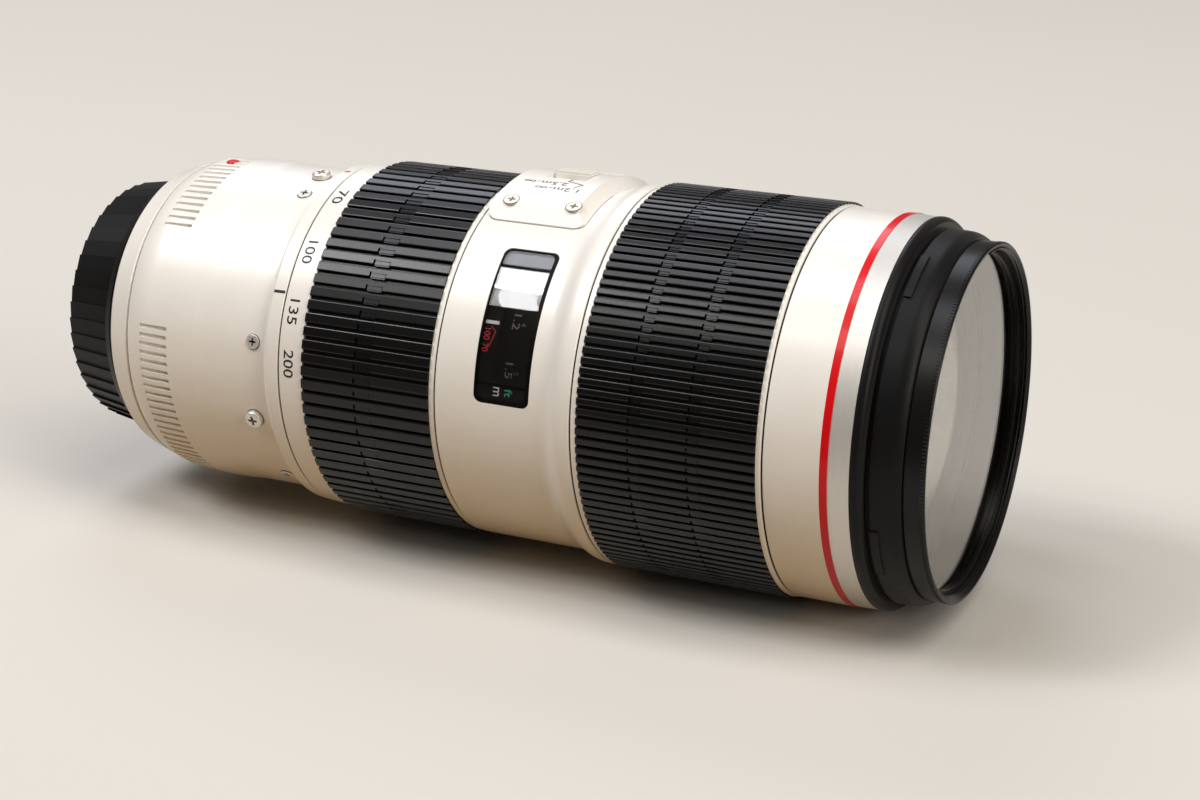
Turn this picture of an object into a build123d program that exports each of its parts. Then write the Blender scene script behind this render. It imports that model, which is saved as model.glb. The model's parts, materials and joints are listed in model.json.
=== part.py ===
from build123d import *
import os
from math import cos, radians, sin

# A white telephoto zoom lens lying on its side, in millimetres.
# The optical axis is X, the front points along +X, and the mount flange is the plane x = 0.
# Angles go round the optical axis from straight up (+Z) towards -Y.
# Corners of turned pieces are (station along X, radius).

# Clearance of a running fit, and the gap between pieces that move apart
FIT = 0.1
GAP = 0.3

# Bayonet mount
THROAT_RADIUS = 23.6
BAYONET_RADIUS = 25.3
LUG_RADIUS = 26.9
LUG_COUNT = 3
LUG_ANGLE = 56
FLANGE_RADIUS = 32.6
FLANGE_THICKNESS = 3.0
MOUNT_DEPTH = 5.4
MOUNT_SCREW_RADIUS = 29.4
CONTACT_COUNT = 8
CONTACT_PITCH = 8.2

# Rear of the barrel
REAR_EDGE = 0.4
REAR_LIP_RADIUS = 26.5
REAR_GROOVE = 6.3
BAND_START = 7.1
BAND_END = 26.4
SEAT_START = 29.4
SEAT_RADIUS = 39.05
SEAT_END = 46.0
SHELL_INNER = 36.4
BAND_SLOT_START = 11.2
BAND_SLOT_END = 19.2
BAND_SLOT_PITCH = 360 / 116

# The index line, the window and the numbers sit round this angle
INDEX_ANGLE = 61.2
MOUNT_DOT_ANGLE = 2.0

# Zoom ring, and how far it turns from where it stands to 200 and to 70
ZOOM_START = 51.6
ZOOM_END = 92.0
ZOOM_GRIP_START = 58.1
ZOOM_GRIP_END = 90.9
ZOOM_GRIP_RADIUS = 42.4
ZOOM_GRIP_SEAT = 40.6
ZOOM_RIBS = 87
ZOOM_TURN_MIN = -21.75
ZOOM_TURN_MAX = 36.25
SLEEVE_RADIUS = 38.3

# Middle barrel with its window and switch panel
MID_START = 92.4
MID_END = 126.2
MID_RADIUS = 42.0
FLARE_START = 117.4
FLARE_END = 124.9
FLARE_RADIUS = 44.1
WINDOW_START = 102.0
WINDOW_END = 115.5
WINDOW_ANGLE = 49.2
PANEL_START = 93.5
PANEL_END = 117.4
PANEL_RADIUS = 44.6
PANEL_ANGLE = 110
PANEL_MIDDLE = -29
PANEL_RAMP_ANGLE = 4.6
PANEL_FRONT_SLOPE = 2.6
PANEL_FOOT = 0.2
SWITCH_ANGLES = (-4, -26, -48, -70)
SWITCH_STATION = 105.5
SWITCH_TRAVEL = 4.2
KNOB_ANGLE = 5.6
KNOB_TOP = 45.3
KNOB_FLOOR = 43.4
STEM_ANGLE = 2.6

# Focus ring
FOCUS_START = 126.6
FOCUS_END = 170.0
FOCUS_GRIP_START = 127.9
FOCUS_GRIP_END = 169.0
FOCUS_GRIP_RADIUS = 44.4
FOCUS_GRIP_SEAT = 42.6
FOCUS_RIBS = 126
FOCUS_SLEEVE_RADIUS = 37.6
FOCUS_SLEEVE_INNER = 36.1

# Front of the barrel
FRONT_START = 170.4
RED_RING_START = 182.8
BAND_REAR = 184.5
HOOD_MOUNT_START = 189.1
HOOD_MOUNT_END = 199.0
HOOD_LUG_ANGLE = 26.5
FRONT_RADIUS = 43.6
SPIGOT_RADIUS = 39.4
BEZEL_RADIUS = 38.6
THREAD_RADIUS = 38.1

# Screw-in filter
FILTER_START = 199.3
FILTER_END = 203.9
FILTER_RADIUS = 39.4

# Inner guide tube and the cam tubes that turn on it
GUIDE_INNER = 31.2
GUIDE_OUTER = 32.6
CAM_OUTER = 34.4
ROLLER_RADIUS = 2.5
ROLLER_TOP = 34.2
GUIDE_START = 28.0
GUIDE_END = 176.0
FLANGE_WEB_START = 24.0

# Iris: its blades lie one behind the other between a web and the ring that swings them
IRIS_BLADES = 7
IRIS_OPENING = 18.5
WEB_THICKNESS = 1.2
BLADE_START = 29.4
BLADE_PITCH = 0.4
BLADE_THICKNESS = 0.25
BLADE_INNER = 18.9
BLADE_OUTER = 26.3
BLADE_EAR = 29.0
PIVOT_RADIUS = 27.6
PIN_RADIUS = 0.7
DRIVE_ANGLE = 11.0
BLADE_SWING = 24.0
IRIS_TURN = 20.0
IRIS_RING_START = 32.3
IRIS_RING_END = 33.5

# Cells: where each stands, its half length, and its travel per degree of its cam tube
VARIATOR_STATION = 74.5
VARIATOR_HALF = 6.0
VARIATOR_RATE = 0.4828
COMPENSATOR_STATION = 48.0
COMPENSATOR_HALF = 4.5
COMPENSATOR_RATE = -0.15
FOCUS_STATION = 150.0
FOCUS_HALF = 6.0
FOCUS_RATE = 0.14
FOCUS_CAM_MIN = -68
FOCUS_CAM_MAX = 2

KEY_ANGLE = 180
KEY_WIDTH = 8


def turned(*corners):
    """A piece turned about the optical axis from (station, radius) corners."""
    return revolve(make_face(Polyline(*corners, close=True)), Axis.X)


def tube(start, end, outer, inner):
    return turned((start, inner), (end, inner), (end, outer), (start, outer))


def sector(start, end, outer, inner, middle, width):
    """A stretch of a tube, width degrees wide, centred on the angle middle."""
    corners = [(start, 0, inner), (end, 0, inner), (end, 0, outer), (start, 0, outer)]
    wedge = revolve(make_face(Polyline(*corners, close=True)), Axis.X, width)
    return Rot(X=middle - width / 2) * wedge


def spot(station, angle, radius):
    """A plane on the barrel: its normal points outwards, its x along the optical axis."""
    outward = Vector(0, -sin(radians(angle)), cos(radians(angle)))
    return Plane(origin=Vector(station, 0, 0) + outward * radius, x_dir=(1, 0, 0), z_dir=outward)


def polar(radius, angle):
    return (radius * cos(radians(angle)), radius * sin(radians(angle)))


def cross_plane(station, angle):
    """A plane square to the axis: its x points out at the angle, its y the way angles grow."""
    outward = Vector(0, -sin(radians(angle)), cos(radians(angle)))
    return Plane(origin=(station, 0, 0), x_dir=outward, z_dir=(1, 0, 0))


def face_spot(station, angle, radius):
    """A plane square to the optical axis, off the axis by radius."""
    return Plane(origin=spot(station, angle, radius).origin, x_dir=(0, 1, 0), z_dir=(1, 0, 0))


def grooved_tube(start, end, outer, inner, count, width, depth, first):
    """A rubber sleeve with straight grooves along it, the first one at the angle first."""
    section = Circle(outer) - Circle(inner)
    section -= PolarLocations(outer, count, first + 90) * Rectangle(2 * depth, width)
    return extrude(Plane.YZ.offset(start) * section, end - start)


def lens_glass(rear, front, radius, rear_bulge, front_bulge):
    """A lens element: faces at the rim stations, each bulging outwards (or inwards if negative)."""
    def surface(station, bulge, side):
        tip = (station + side * bulge, 0)
        middle_height = radius * 0.7
        middle = (station + side * bulge * (1 - 0.49), middle_height)
        return ThreePointArc(tip, middle, (station, radius))
    outline = [
        surface(rear, rear_bulge, -1),
        Line((rear, radius), (front, radius)),
        surface(front, front_bulge, 1),
        Line((rear - rear_bulge, 0), (front + front_bulge, 0)),
    ]
    return revolve(make_face(outline), Axis.X)


def screw_hole(head_radius, shank_radius, shank_length):
    """The hole for a screw whose head sits on the plane z = 0, open above."""
    counterbore = Cylinder(head_radius, 3, align=(Align.CENTER, Align.CENTER, Align.MIN))
    return counterbore + Cylinder(shank_radius, shank_length, align=(Align.CENTER, Align.CENTER, Align.MAX))


def cross_head_screw(head_radius, head_height, shank_radius, shank_length, recess):
    """A round headed screw standing on the plane z = 0, with its shank below it."""
    head = Cylinder(head_radius, head_height, align=(Align.CENTER, Align.CENTER, Align.MIN))
    head = fillet(head.edges().group_by(Axis.Z)[-1], head_height * 0.4)
    shank = Cylinder(shank_radius, shank_length, align=(Align.CENTER, Align.CENTER, Align.MAX))
    slot = Box(head_radius * 1.1, head_radius * 0.3, 2 * recess)
    top = Location((0, 0, head_height))
    return head + shank - top * slot - top * Rot(Z=90) * slot


def guide_slot(station, angle, travel_back, travel_ahead):
    """A straight slot through the guide tube for one roller."""
    width = 2 * ROLLER_RADIUS + 2 * FIT
    length = travel_back + travel_ahead + width + 2 * FIT
    middle = station + (travel_ahead - travel_back) / 2
    return extrude(spot(middle, angle, GUIDE_INNER - 2) * SlotOverall(length, width), 5)


def cam_slot(station, rate, angle, turn_min, turn_max):
    """A helical slot through a cam tube, which pushes a roller along as the tube turns."""
    radius = (GUIDE_OUTER + CAM_OUTER) / 2
    step = radians(1) * radius
    overrun = (ROLLER_RADIUS + 3 * FIT) / (step ** 2 + rate ** 2) ** 0.5
    turns = sorted([turn_min - overrun, turn_max + overrun], key=lambda turn: rate * turn)
    start = station + rate * turns[0]
    height = abs(rate) * (turns[1] - turns[0]) * (1 if rate > 0 else -1)
    helix = Helix(abs(rate) * 360, height, radius, lefthand=rate > 0)
    first_angle = angle - turns[0]
    place = Plane(
        origin=(start, 0, 0),
        x_dir=(0, -sin(radians(first_angle)), cos(radians(first_angle))),
        z_dir=(1, 0, 0),
    )
    path = place * helix
    start_plane = Plane(origin=path @ 0, x_dir=place.x_dir, z_dir=path % 0)
    section = start_plane * Rectangle(6, 2 * ROLLER_RADIUS + 2 * FIT)
    return sweep(section, path, is_frenet=True)


def rollers(station, angles):
    """Three rollers, from inside a cell out into the cam slots."""
    height = ROLLER_TOP - GUIDE_INNER + 1.6
    return [
        extrude(spot(station, angle, GUIDE_INNER - 1.6) * Circle(ROLLER_RADIUS), height)
        for angle in angles
    ]


# Rear cap: a ribbed cup pushed on over the bayonet.

def saw_section(station, valley, tip, count, first_tooth):
    """A ring of saw teeth square to the axis."""
    pitch = 360 / count
    points = []
    for tooth in range(count):
        turn = radians(90 + first_tooth + tooth * pitch)
        points += [(valley * cos(turn), valley * sin(turn)), (tip * cos(turn), tip * sin(turn))]
    return Plane.YZ.offset(station) * make_face(Polyline(*points, close=True))


def make_rear_cap():
    rear, front = -16.4, -1.0
    rib_start, rib_end = -15.9, -3.5
    rib_count, first_rib, rib_step = 48, 38.4, 0.5
    core_radius = 28.2
    shell = turned(
        (rear, 0), (rear, 27.6), (rear + 0.8, 28.8), (rib_end, 29.8), (rib_end + 0.2, 32.6),
        (front - 0.5, 33.4), (front, 32.9), (front, 28.0), (-13.9, 27.4), (-13.9, 0),
    )
    rib_sections = [
        saw_section(station, tip - rib_step, tip, rib_count, first_rib)
        for station, tip in ((rib_start, 29.9), (rib_end, 31.8))
    ]
    ribs = loft(rib_sections, ruled=True) - tube(rib_start - 1, rib_end + 1, core_radius, 0)
    inner_lugs = [
        sector(-3.0, -1.2, 28.2, BAYONET_RADIUS + 0.5, 60 + lug * 120, 40) for lug in range(LUG_COUNT)
    ]
    return shell + ribs + inner_lugs


# Bayonet mount, its screws, seal and contacts.

def mount_screw_spots():
    return [face_spot(0, INDEX_ANGLE + 45 + 90 * index, MOUNT_SCREW_RADIUS) for index in range(4)]


def make_mount_bayonet():
    ring = turned(
        (-MOUNT_DEPTH, THROAT_RADIUS), (-MOUNT_DEPTH, BAYONET_RADIUS - 0.4),
        (-MOUNT_DEPTH + 0.4, BAYONET_RADIUS), (0, BAYONET_RADIUS), (0, FLANGE_RADIUS - 0.3),
        (0.3, FLANGE_RADIUS), (FLANGE_THICKNESS, FLANGE_RADIUS), (FLANGE_THICKNESS, THROAT_RADIUS),
    )
    lugs = [
        sector(-5.2, -3.3, LUG_RADIUS, BAYONET_RADIUS - 0.2, lug * 120, LUG_ANGLE)
        for lug in range(LUG_COUNT)
    ]
    ring += lugs
    lock_notch = extrude(face_spot(0, MOUNT_DOT_ANGLE + 90, 30.4) * SlotOverall(4.6, 2.6), 2.0)
    return ring - lock_notch - mount_screw_holes()


def mount_screw_holes():
    sink = Cylinder(1.9, 1.0, align=(Align.CENTER, Align.CENTER, Align.MAX))
    sink += Cone(1.9, 0.9, 1.2, align=(Align.CENTER, Align.CENTER, Align.MIN))
    sink += Cylinder(0.9, 5.2, align=(Align.CENTER, Align.CENTER, Align.MIN))
    return [place * Location((0, 0, 0.1)) * sink for place in mount_screw_spots()]


def make_mount_screws():
    """Four sunk screws, their heads facing the camera."""
    screw = Cone(1.9, 0.9, 1.2, align=(Align.CENTER, Align.CENTER, Align.MIN))
    screw += Cylinder(0.9, 5.2, align=(Align.CENTER, Align.CENTER, Align.MIN))
    slot = Box(2.0, 0.45, 1.0)
    screw = Location((0, 0, 0.1)) * (screw - slot - Rot(Z=90) * slot)
    return Compound(children=[place * screw for place in mount_screw_spots()])


def make_mount_seal():
    return turned((-0.7, 33.2), (-0.7, 34.0), (REAR_EDGE, 34.9), (REAR_EDGE, 32.8))


def contact_spots():
    middle = (CONTACT_COUNT - 1) / 2
    return [
        face_spot(-5.1, INDEX_ANGLE + 180 + (index - middle) * CONTACT_PITCH, 21.3)
        for index in range(CONTACT_COUNT)
    ]


def make_contact_block():
    block = sector(-4.6, 1.0, THROAT_RADIUS, 19.0, INDEX_ANGLE + 180, CONTACT_COUNT * CONTACT_PITCH + 4)
    step = sector(-5.0, -2.0, 20.2, 18.5, INDEX_ANGLE + 180, CONTACT_COUNT * CONTACT_PITCH + 6)
    return block - step - make_contact_pins()


def make_contact_pins():
    pin = Cylinder(0.85, 3.4, align=(Align.CENTER, Align.CENTER, Align.MIN))
    pin = fillet(pin.edges().group_by(Axis.Z)[0], 0.35)
    return Compound(children=[place * pin for place in contact_spots()])


# Rear barrel: ring, ribbed band, collar seat and the sleeve that the zoom ring turns on.

def make_rear_ring():
    ring = turned(
        (REAR_EDGE, FLANGE_RADIUS + 0.1), (FLANGE_THICKNESS, FLANGE_RADIUS + 0.1),
        (FLANGE_THICKNESS, REAR_LIP_RADIUS), (5.4, REAR_LIP_RADIUS), (5.4, 34.4), (10.6, 34.4),
        (10.6, SHELL_INNER), (BAND_START, SHELL_INNER), (BAND_START, 35.8), (REAR_GROOVE, 35.8),
        (REAR_GROOVE, 37.3), (REAR_GROOVE - 0.2, 37.5), (1.0, 35.9), (REAR_EDGE, 35.3),
    )
    return ring - mount_screw_holes()


def make_rear_barrel():
    rim = 51.2
    outline = [
        ThreePointArc((BAND_START, 37.7), (10.6, 38.8), (15.0, 39.2)),
        ThreePointArc((15.0, 39.2), (21.0, 39.4), (BAND_END, 39.3)),
        ThreePointArc((BAND_END, 39.3), (27.9, 39.14), (SEAT_START, SEAT_RADIUS)),
        Line((SEAT_START, SEAT_RADIUS), (SEAT_END, SEAT_RADIUS)),
        ThreePointArc((SEAT_END, SEAT_RADIUS), (46.9, 39.9), (48.0, 41.2)),
        Polyline(
            (48.0, 41.2), (rim - 0.2, 41.45), (rim, 41.25), (rim, SLEEVE_RADIUS), (100, SLEEVE_RADIUS),
            (100, SHELL_INNER), (GUIDE_START, SHELL_INNER), (GUIDE_START, 33.0),
            (FLANGE_WEB_START, 33.0), (FLANGE_WEB_START, SHELL_INNER), (BAND_START, SHELL_INNER),
            (BAND_START, 37.7),
        ),
    ]
    barrel = revolve(make_face(outline), Axis.X)
    slot = Box(BAND_SLOT_END - BAND_SLOT_START, 1.0, 4, align=(Align.MIN, Align.CENTER, Align.MIN))
    bare_from, bare_to = 44, 78
    slots = []
    for index in range(round(360 / BAND_SLOT_PITCH)):
        angle = bare_to + 1 + index * BAND_SLOT_PITCH
        if angle < 360 + bare_from:
            slots.append(spot(BAND_SLOT_START, angle, 38.5).location * slot)
    dot_hole = extrude(spot(14.6, MOUNT_DOT_ANGLE, 37.6) * Circle(1.6), 3)
    dot_land = extrude(spot(15.2, MOUNT_DOT_ANGLE, 37.0) * Rectangle(8.4, 6.5), 1.9)
    turn_middle = KEY_ANGLE + (ZOOM_TURN_MIN + ZOOM_TURN_MAX) / 2
    turn_width = ZOOM_TURN_MAX - ZOOM_TURN_MIN + KEY_WIDTH + 1.2
    key_way = sector(59.7, 66.3, SLEEVE_RADIUS + 1, SHELL_INNER - 1, turn_middle, turn_width)
    barrel = barrel - slots + (dot_land & tube(11, 20, 39.3, 36.5))
    barrel = barrel - dot_hole - key_way
    holes = [place.location * screw_hole(1.7, 0.9, 2.0) for place in low_screw_spots()]
    holes += [place.location * screw_hole(2.2, 1.2, 2.0) for place in tall_screw_spots()]
    return barrel - holes


def make_mount_index_dot():
    dot = Cylinder(1.6, 1.9, align=(Align.CENTER, Align.CENTER, Align.MIN))
    dot = fillet(dot.edges().group_by(Axis.Z)[-1], 0.8)
    return spot(14.6, MOUNT_DOT_ANGLE, 37.6).location * dot


def low_screw_spots():
    places = ((42.5, 19.9), (43.0, 78.7), (43.0, 137.2), (43.0, -38.6))
    return [spot(station, angle, SEAT_RADIUS - 0.1) for station, angle in places]


def tall_screw_spots():
    return [spot(station, angle, SEAT_RADIUS - 0.1) for station, angle in ((42.0, 106.7), (41.9, 7.0))]


def make_barrel_screws():
    """Small seat screws, and two taller ones that stop the tripod collar."""
    low = cross_head_screw(1.7, 0.5, 0.9, 2.0, 0.3)
    tall = cross_head_screw(2.2, 1.5, 1.2, 2.0, 0.6)
    screws = [place.location * low for place in low_screw_spots()]
    screws += [place.location * tall for place in tall_screw_spots()]
    return Compound(children=screws)


# Rear lens group, board and stabiliser.

def make_rear_cell():
    cell = tube(2.0, 13.0, 22.6, 20.4) + tube(5.4, 7.0, 34.4, 20.4) + tube(12.0, 13.0, 20.4, 17.0)
    posts = [
        extrude(face_spot(7.0, angle, 29.5) * Circle(1.6), 4.5) for angle in (30, 150, 270)
    ]
    baffle = tube(2.0, 3.2, 20.4, 15.5)
    return cell + posts + baffle


def make_rear_lens():
    return lens_glass(5.8, 9.6, 20.4, 2.0, 2.0)


def make_circuit_board():
    start, thickness = 11.5, 1.4
    board = tube(start, start + thickness, 34.0, 25.0)
    chips = [
        sector(start + thickness, start + thickness + 1.1, 32.5, 26.5, angle, width)
        for angle, width in ((60, 24), (115, 14), (200, 30), (255, 12), (320, 18))
    ]
    return board + chips


def make_stabiliser_base():
    base = tube(22.4, FLANGE_WEB_START, 35.8, 24.5)
    coils = [sector(20.6, 22.4, 33.5, 27.5, angle, 36) for angle in (0, 90)]
    return base + coils


def make_stabiliser_frame():
    """The frame that slides up and down on the base."""
    ring = tube(20.8, 22.0, 26.4, 21.4)
    return ring


def make_stabiliser_cell():
    """The cell that slides sideways on the frame, with its glass."""
    return tube(14.8, 22.2, 15.4, 13.0) + tube(19.0, 20.4, 25.6, 15.4)


def make_stabiliser_lens():
    return lens_glass(16.0, 19.5, 13.0, -0.6, 1.6)


# Iris: curved blades, each on a pivot in the web, with a pin in a slot of the ring.

def arc_band(inner, outer, start, end):
    """A flat band between two arcs about the axis, from one angle to another."""
    middle = (start + end) / 2
    return make_face([
        ThreePointArc(polar(inner, start), polar(inner, middle), polar(inner, end)),
        Line(polar(inner, end), polar(outer, end)),
        ThreePointArc(polar(outer, end), polar(outer, middle), polar(outer, start)),
        Line(polar(outer, start), polar(inner, start)),
    ])


def blade_angle(index):
    return index * 360 / IRIS_BLADES


def make_iris_blade(index):
    """A blade with its pivot pin on the mount side and its drive pin on the ring side."""
    angle = blade_angle(index)
    station = BLADE_START + index * BLADE_PITCH
    outline = arc_band(BLADE_INNER, BLADE_OUTER, -4, 84) + arc_band(BLADE_OUTER - 2, BLADE_EAR, -4, 15)
    outline = fillet(outline.vertices(), 0.8)
    blade = extrude(cross_plane(station, angle) * outline, BLADE_THICKNESS)
    pivot_start = GUIDE_START + 0.2
    pivot = cross_plane(pivot_start, angle) * Pos(PIVOT_RADIUS, 0) * Circle(PIN_RADIUS)
    drive = cross_plane(station, angle) * Pos(*polar(PIVOT_RADIUS, DRIVE_ANGLE)) * Circle(PIN_RADIUS)
    blade += extrude(pivot, station + BLADE_THICKNESS - pivot_start)
    return blade + extrude(drive, IRIS_RING_END - 0.2 - station)


def drive_pin_place(turn):
    """Where a blade's drive pin stands in the ring's own frame, with the ring turned by turn."""
    swing = radians(turn * BLADE_SWING / IRIS_TURN)
    start_x, start_y = polar(PIVOT_RADIUS, DRIVE_ANGLE)
    arm_x, arm_y = start_x - PIVOT_RADIUS, start_y
    x = PIVOT_RADIUS + arm_x * cos(swing) - arm_y * sin(swing)
    y = arm_x * sin(swing) + arm_y * cos(swing)
    back = radians(-turn)
    return (x * cos(back) - y * sin(back), x * sin(back) + y * cos(back))


def make_iris_ring():
    """The ring that turns to close the iris: one curved slot for each blade."""
    ring = tube(IRIS_RING_START, IRIS_RING_END, GUIDE_INNER - FIT, 23.4)
    path = ThreePointArc(drive_pin_place(0), drive_pin_place(IRIS_TURN / 2), drive_pin_place(IRIS_TURN))
    slot = SlotArc(path, 2 * PIN_RADIUS + 2 * FIT)
    for index in range(IRIS_BLADES):
        ring -= extrude(cross_plane(IRIS_RING_START - 1, blade_angle(index)) * slot, 3)
    return ring


def iris_seat():
    """The web that the blades pivot in, and the lip that keeps the ring in."""
    web = tube(GUIDE_START, GUIDE_START + WEB_THICKNESS, GUIDE_INNER, IRIS_OPENING)
    for index in range(IRIS_BLADES):
        hole = cross_plane(GUIDE_START - 1, blade_angle(index)) * Pos(PIVOT_RADIUS, 0)
        web -= extrude(hole * Circle(PIN_RADIUS + FIT / 2), WEB_THICKNESS + 2)
    return web + tube(IRIS_RING_END + FIT, IRIS_RING_END + 0.9, GUIDE_INNER, GUIDE_INNER - 0.8)


# Guide tube and the zoom mechanism.

def make_guide_tube():
    guide = tube(GUIDE_START, GUIDE_END, GUIDE_OUTER, GUIDE_INNER)
    guide += iris_seat()
    guide += tube(GUIDE_START, GUIDE_START + 2, SHELL_INNER, GUIDE_OUTER)
    guide += tube(GUIDE_END - 4, GUIDE_END, FOCUS_SLEEVE_INNER, GUIDE_OUTER)
    for index in range(3):
        guide -= guide_slot(
            VARIATOR_STATION, index * 120, -VARIATOR_RATE * ZOOM_TURN_MIN, VARIATOR_RATE * ZOOM_TURN_MAX
        )
        guide -= guide_slot(
            COMPENSATOR_STATION, 60 + index * 120,
            -COMPENSATOR_RATE * ZOOM_TURN_MAX, COMPENSATOR_RATE * ZOOM_TURN_MIN,
        )
        guide -= guide_slot(
            FOCUS_STATION, 30 + index * 120, -FOCUS_RATE * FOCUS_CAM_MIN, FOCUS_RATE * FOCUS_CAM_MAX
        )
    return guide


def make_cam_tube():
    cam = tube(38.0, 100.0, CAM_OUTER, GUIDE_OUTER + FIT)
    for index in range(3):
        cam -= cam_slot(VARIATOR_STATION, VARIATOR_RATE, index * 120, ZOOM_TURN_MIN, ZOOM_TURN_MAX)
        cam -= cam_slot(
            COMPENSATOR_STATION, COMPENSATOR_RATE, 60 + index * 120, ZOOM_TURN_MIN, ZOOM_TURN_MAX
        )
    return cam


def make_zoom_key():
    return sector(60.0, 66.0, 40.0, CAM_OUTER, KEY_ANGLE, KEY_WIDTH)


def make_cell(station, half, bore, angles):
    """A lens cell that slides in the guide tube, with its three rollers as solids of their own."""
    cell = tube(station - half, station + half, GUIDE_INNER - FIT, bore)
    cell += tube(station - half, station - half + 1.5, bore, bore - 2)
    pins = rollers(station, angles)
    return Compound(children=[cell - pins, *pins])


def make_zoom_ring():
    ring = turned(
        (ZOOM_START, SLEEVE_RADIUS + FIT / 2), (ZOOM_END, SLEEVE_RADIUS + FIT / 2),
        (ZOOM_END, 41.6), (ZOOM_END - 0.2, 41.8), (ZOOM_GRIP_END, 41.9),
        (ZOOM_GRIP_END, ZOOM_GRIP_SEAT), (ZOOM_GRIP_START, ZOOM_GRIP_SEAT),
        (ZOOM_GRIP_START, 41.95), (ZOOM_START + 0.2, 41.5), (ZOOM_START, 41.3),
    )
    return ring - make_zoom_key()


def make_zoom_grip():
    return grooved_tube(
        ZOOM_GRIP_START, ZOOM_GRIP_END, ZOOM_GRIP_RADIUS, ZOOM_GRIP_SEAT, ZOOM_RIBS, 0.8, 0.95, 20.4
    )


# Middle barrel, window, distance drum and switches.

def window_block(start, end, outer, inner, width, corner):
    block = sector(start, end, outer, inner, INDEX_ANGLE, width)
    edges = [edge for edge in block.edges() if abs(edge.length - (outer - inner)) < 0.01]
    return fillet(edges, corner)


def make_mid_barrel():
    flare_middle = (FLARE_START + FLARE_END) / 2
    half_rise = (FLARE_RADIUS - MID_RADIUS) / 2
    outline = [
        Polyline((MID_START + 0.2, MID_RADIUS), (FLARE_START, MID_RADIUS)),
        TangentArc((FLARE_START, MID_RADIUS), (flare_middle, MID_RADIUS + half_rise), tangent=(1, 0)),
        TangentArc(
            (FLARE_END, FLARE_RADIUS), (flare_middle, MID_RADIUS + half_rise), tangent=(-1, 0)
        ),
        Polyline(
            (FLARE_END, FLARE_RADIUS), (MID_END - 0.2, FLARE_RADIUS), (MID_END, FLARE_RADIUS - 0.2),
            (MID_END, 41.0), (125.2, 41.0), (125.2, FOCUS_SLEEVE_RADIUS), (178.0, FOCUS_SLEEVE_RADIUS),
            (178.0, FOCUS_SLEEVE_INNER), (122.4, FOCUS_SLEEVE_INNER), (122.4, 40.2), (100.5, 40.2),
            (100.5, SLEEVE_RADIUS), (MID_START, SLEEVE_RADIUS), (MID_START, MID_RADIUS - 0.2),
            (MID_START + 0.2, MID_RADIUS),
        ),
    ]
    barrel = revolve(make_face(outline), Axis.X)
    barrel -= window_block(WINDOW_START, WINDOW_END, MID_RADIUS + 1, 39.5, WINDOW_ANGLE, 1.8)
    turn_middle = KEY_ANGLE + (FOCUS_CAM_MIN + FOCUS_CAM_MAX) / 2
    turn_width = FOCUS_CAM_MAX - FOCUS_CAM_MIN + KEY_WIDTH + 1.2
    barrel -= sector(140.7, 144.3, FOCUS_SLEEVE_RADIUS + 1, FOCUS_SLEEVE_INNER - 1, turn_middle, turn_width)
    return barrel - [place.location * screw_hole(0.8, 0.8, 3.2) for place in panel_screw_spots()]


def make_window_pane():
    return window_block(WINDOW_START, WINDOW_END, 41.7, 40.9, WINDOW_ANGLE, 1.8)


def panel_screw_spots():
    return [
        spot(station, angle, PANEL_RADIUS - 0.3) for station in (98.2, 113.6) for angle in (20.0, -78.5)
    ]


def panel_ramps():
    """A prism along the axis whose two leaning sides make the ramps at the ends of the panel."""
    foot, top, apex = MID_RADIUS + PANEL_FOOT, PANEL_RADIUS + 2, 2 * PANEL_RADIUS
    lean = PANEL_RAMP_ANGLE * (top - foot) / (PANEL_RADIUS - foot)
    half = PANEL_ANGLE / 2
    corners = [(0, 0)]
    for radius, turn in ((foot, -half), (top, lean - half), (apex, 0), (top, half - lean), (foot, half)):
        corners.append(polar(radius, 90 + PANEL_MIDDLE + turn))
    section = Plane.YZ.offset(PANEL_START) * make_face(Polyline(*corners, close=True))
    return extrude(section, PANEL_END - PANEL_START)


def make_switch_panel():
    panel = sector(PANEL_START, PANEL_END, PANEL_RADIUS, MID_RADIUS, PANEL_MIDDLE, PANEL_ANGLE)
    height = PANEL_RADIUS - MID_RADIUS
    panel = fillet([edge for edge in panel.edges() if abs(edge.length - height) < 0.01], 2.4)
    sloping_front = turned(
        (PANEL_START, SLEEVE_RADIUS), (PANEL_START, PANEL_RADIUS - 0.6), (PANEL_START + 0.6, PANEL_RADIUS),
        (PANEL_END - PANEL_FRONT_SLOPE, PANEL_RADIUS), (PANEL_END, MID_RADIUS + PANEL_FOOT),
        (PANEL_END, SLEEVE_RADIUS),
    )
    panel = panel & sloping_front & panel_ramps()
    for angle in SWITCH_ANGLES:
        middle = angle + SWITCH_TRAVEL / 2
        half_pocket, half_slot = 4.9, 1.5
        panel -= sector(
            SWITCH_STATION - half_pocket, SWITCH_STATION + half_pocket, PANEL_RADIUS + 1, KNOB_FLOOR,
            middle, KNOB_ANGLE + SWITCH_TRAVEL + 0.8,
        )
        panel -= sector(
            SWITCH_STATION - half_slot, SWITCH_STATION + half_slot, PANEL_RADIUS, MID_RADIUS - 1,
            middle, STEM_ANGLE + SWITCH_TRAVEL + 0.8,
        )
    return panel - [place.location * screw_hole(1.8, 0.8, 3.2) for place in panel_screw_spots()]


def make_panel_screws():
    screw = cross_head_screw(1.8, 0.4, 0.8, 3.2, 0.3)
    return Compound(children=[place.location * screw for place in panel_screw_spots()])


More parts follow.
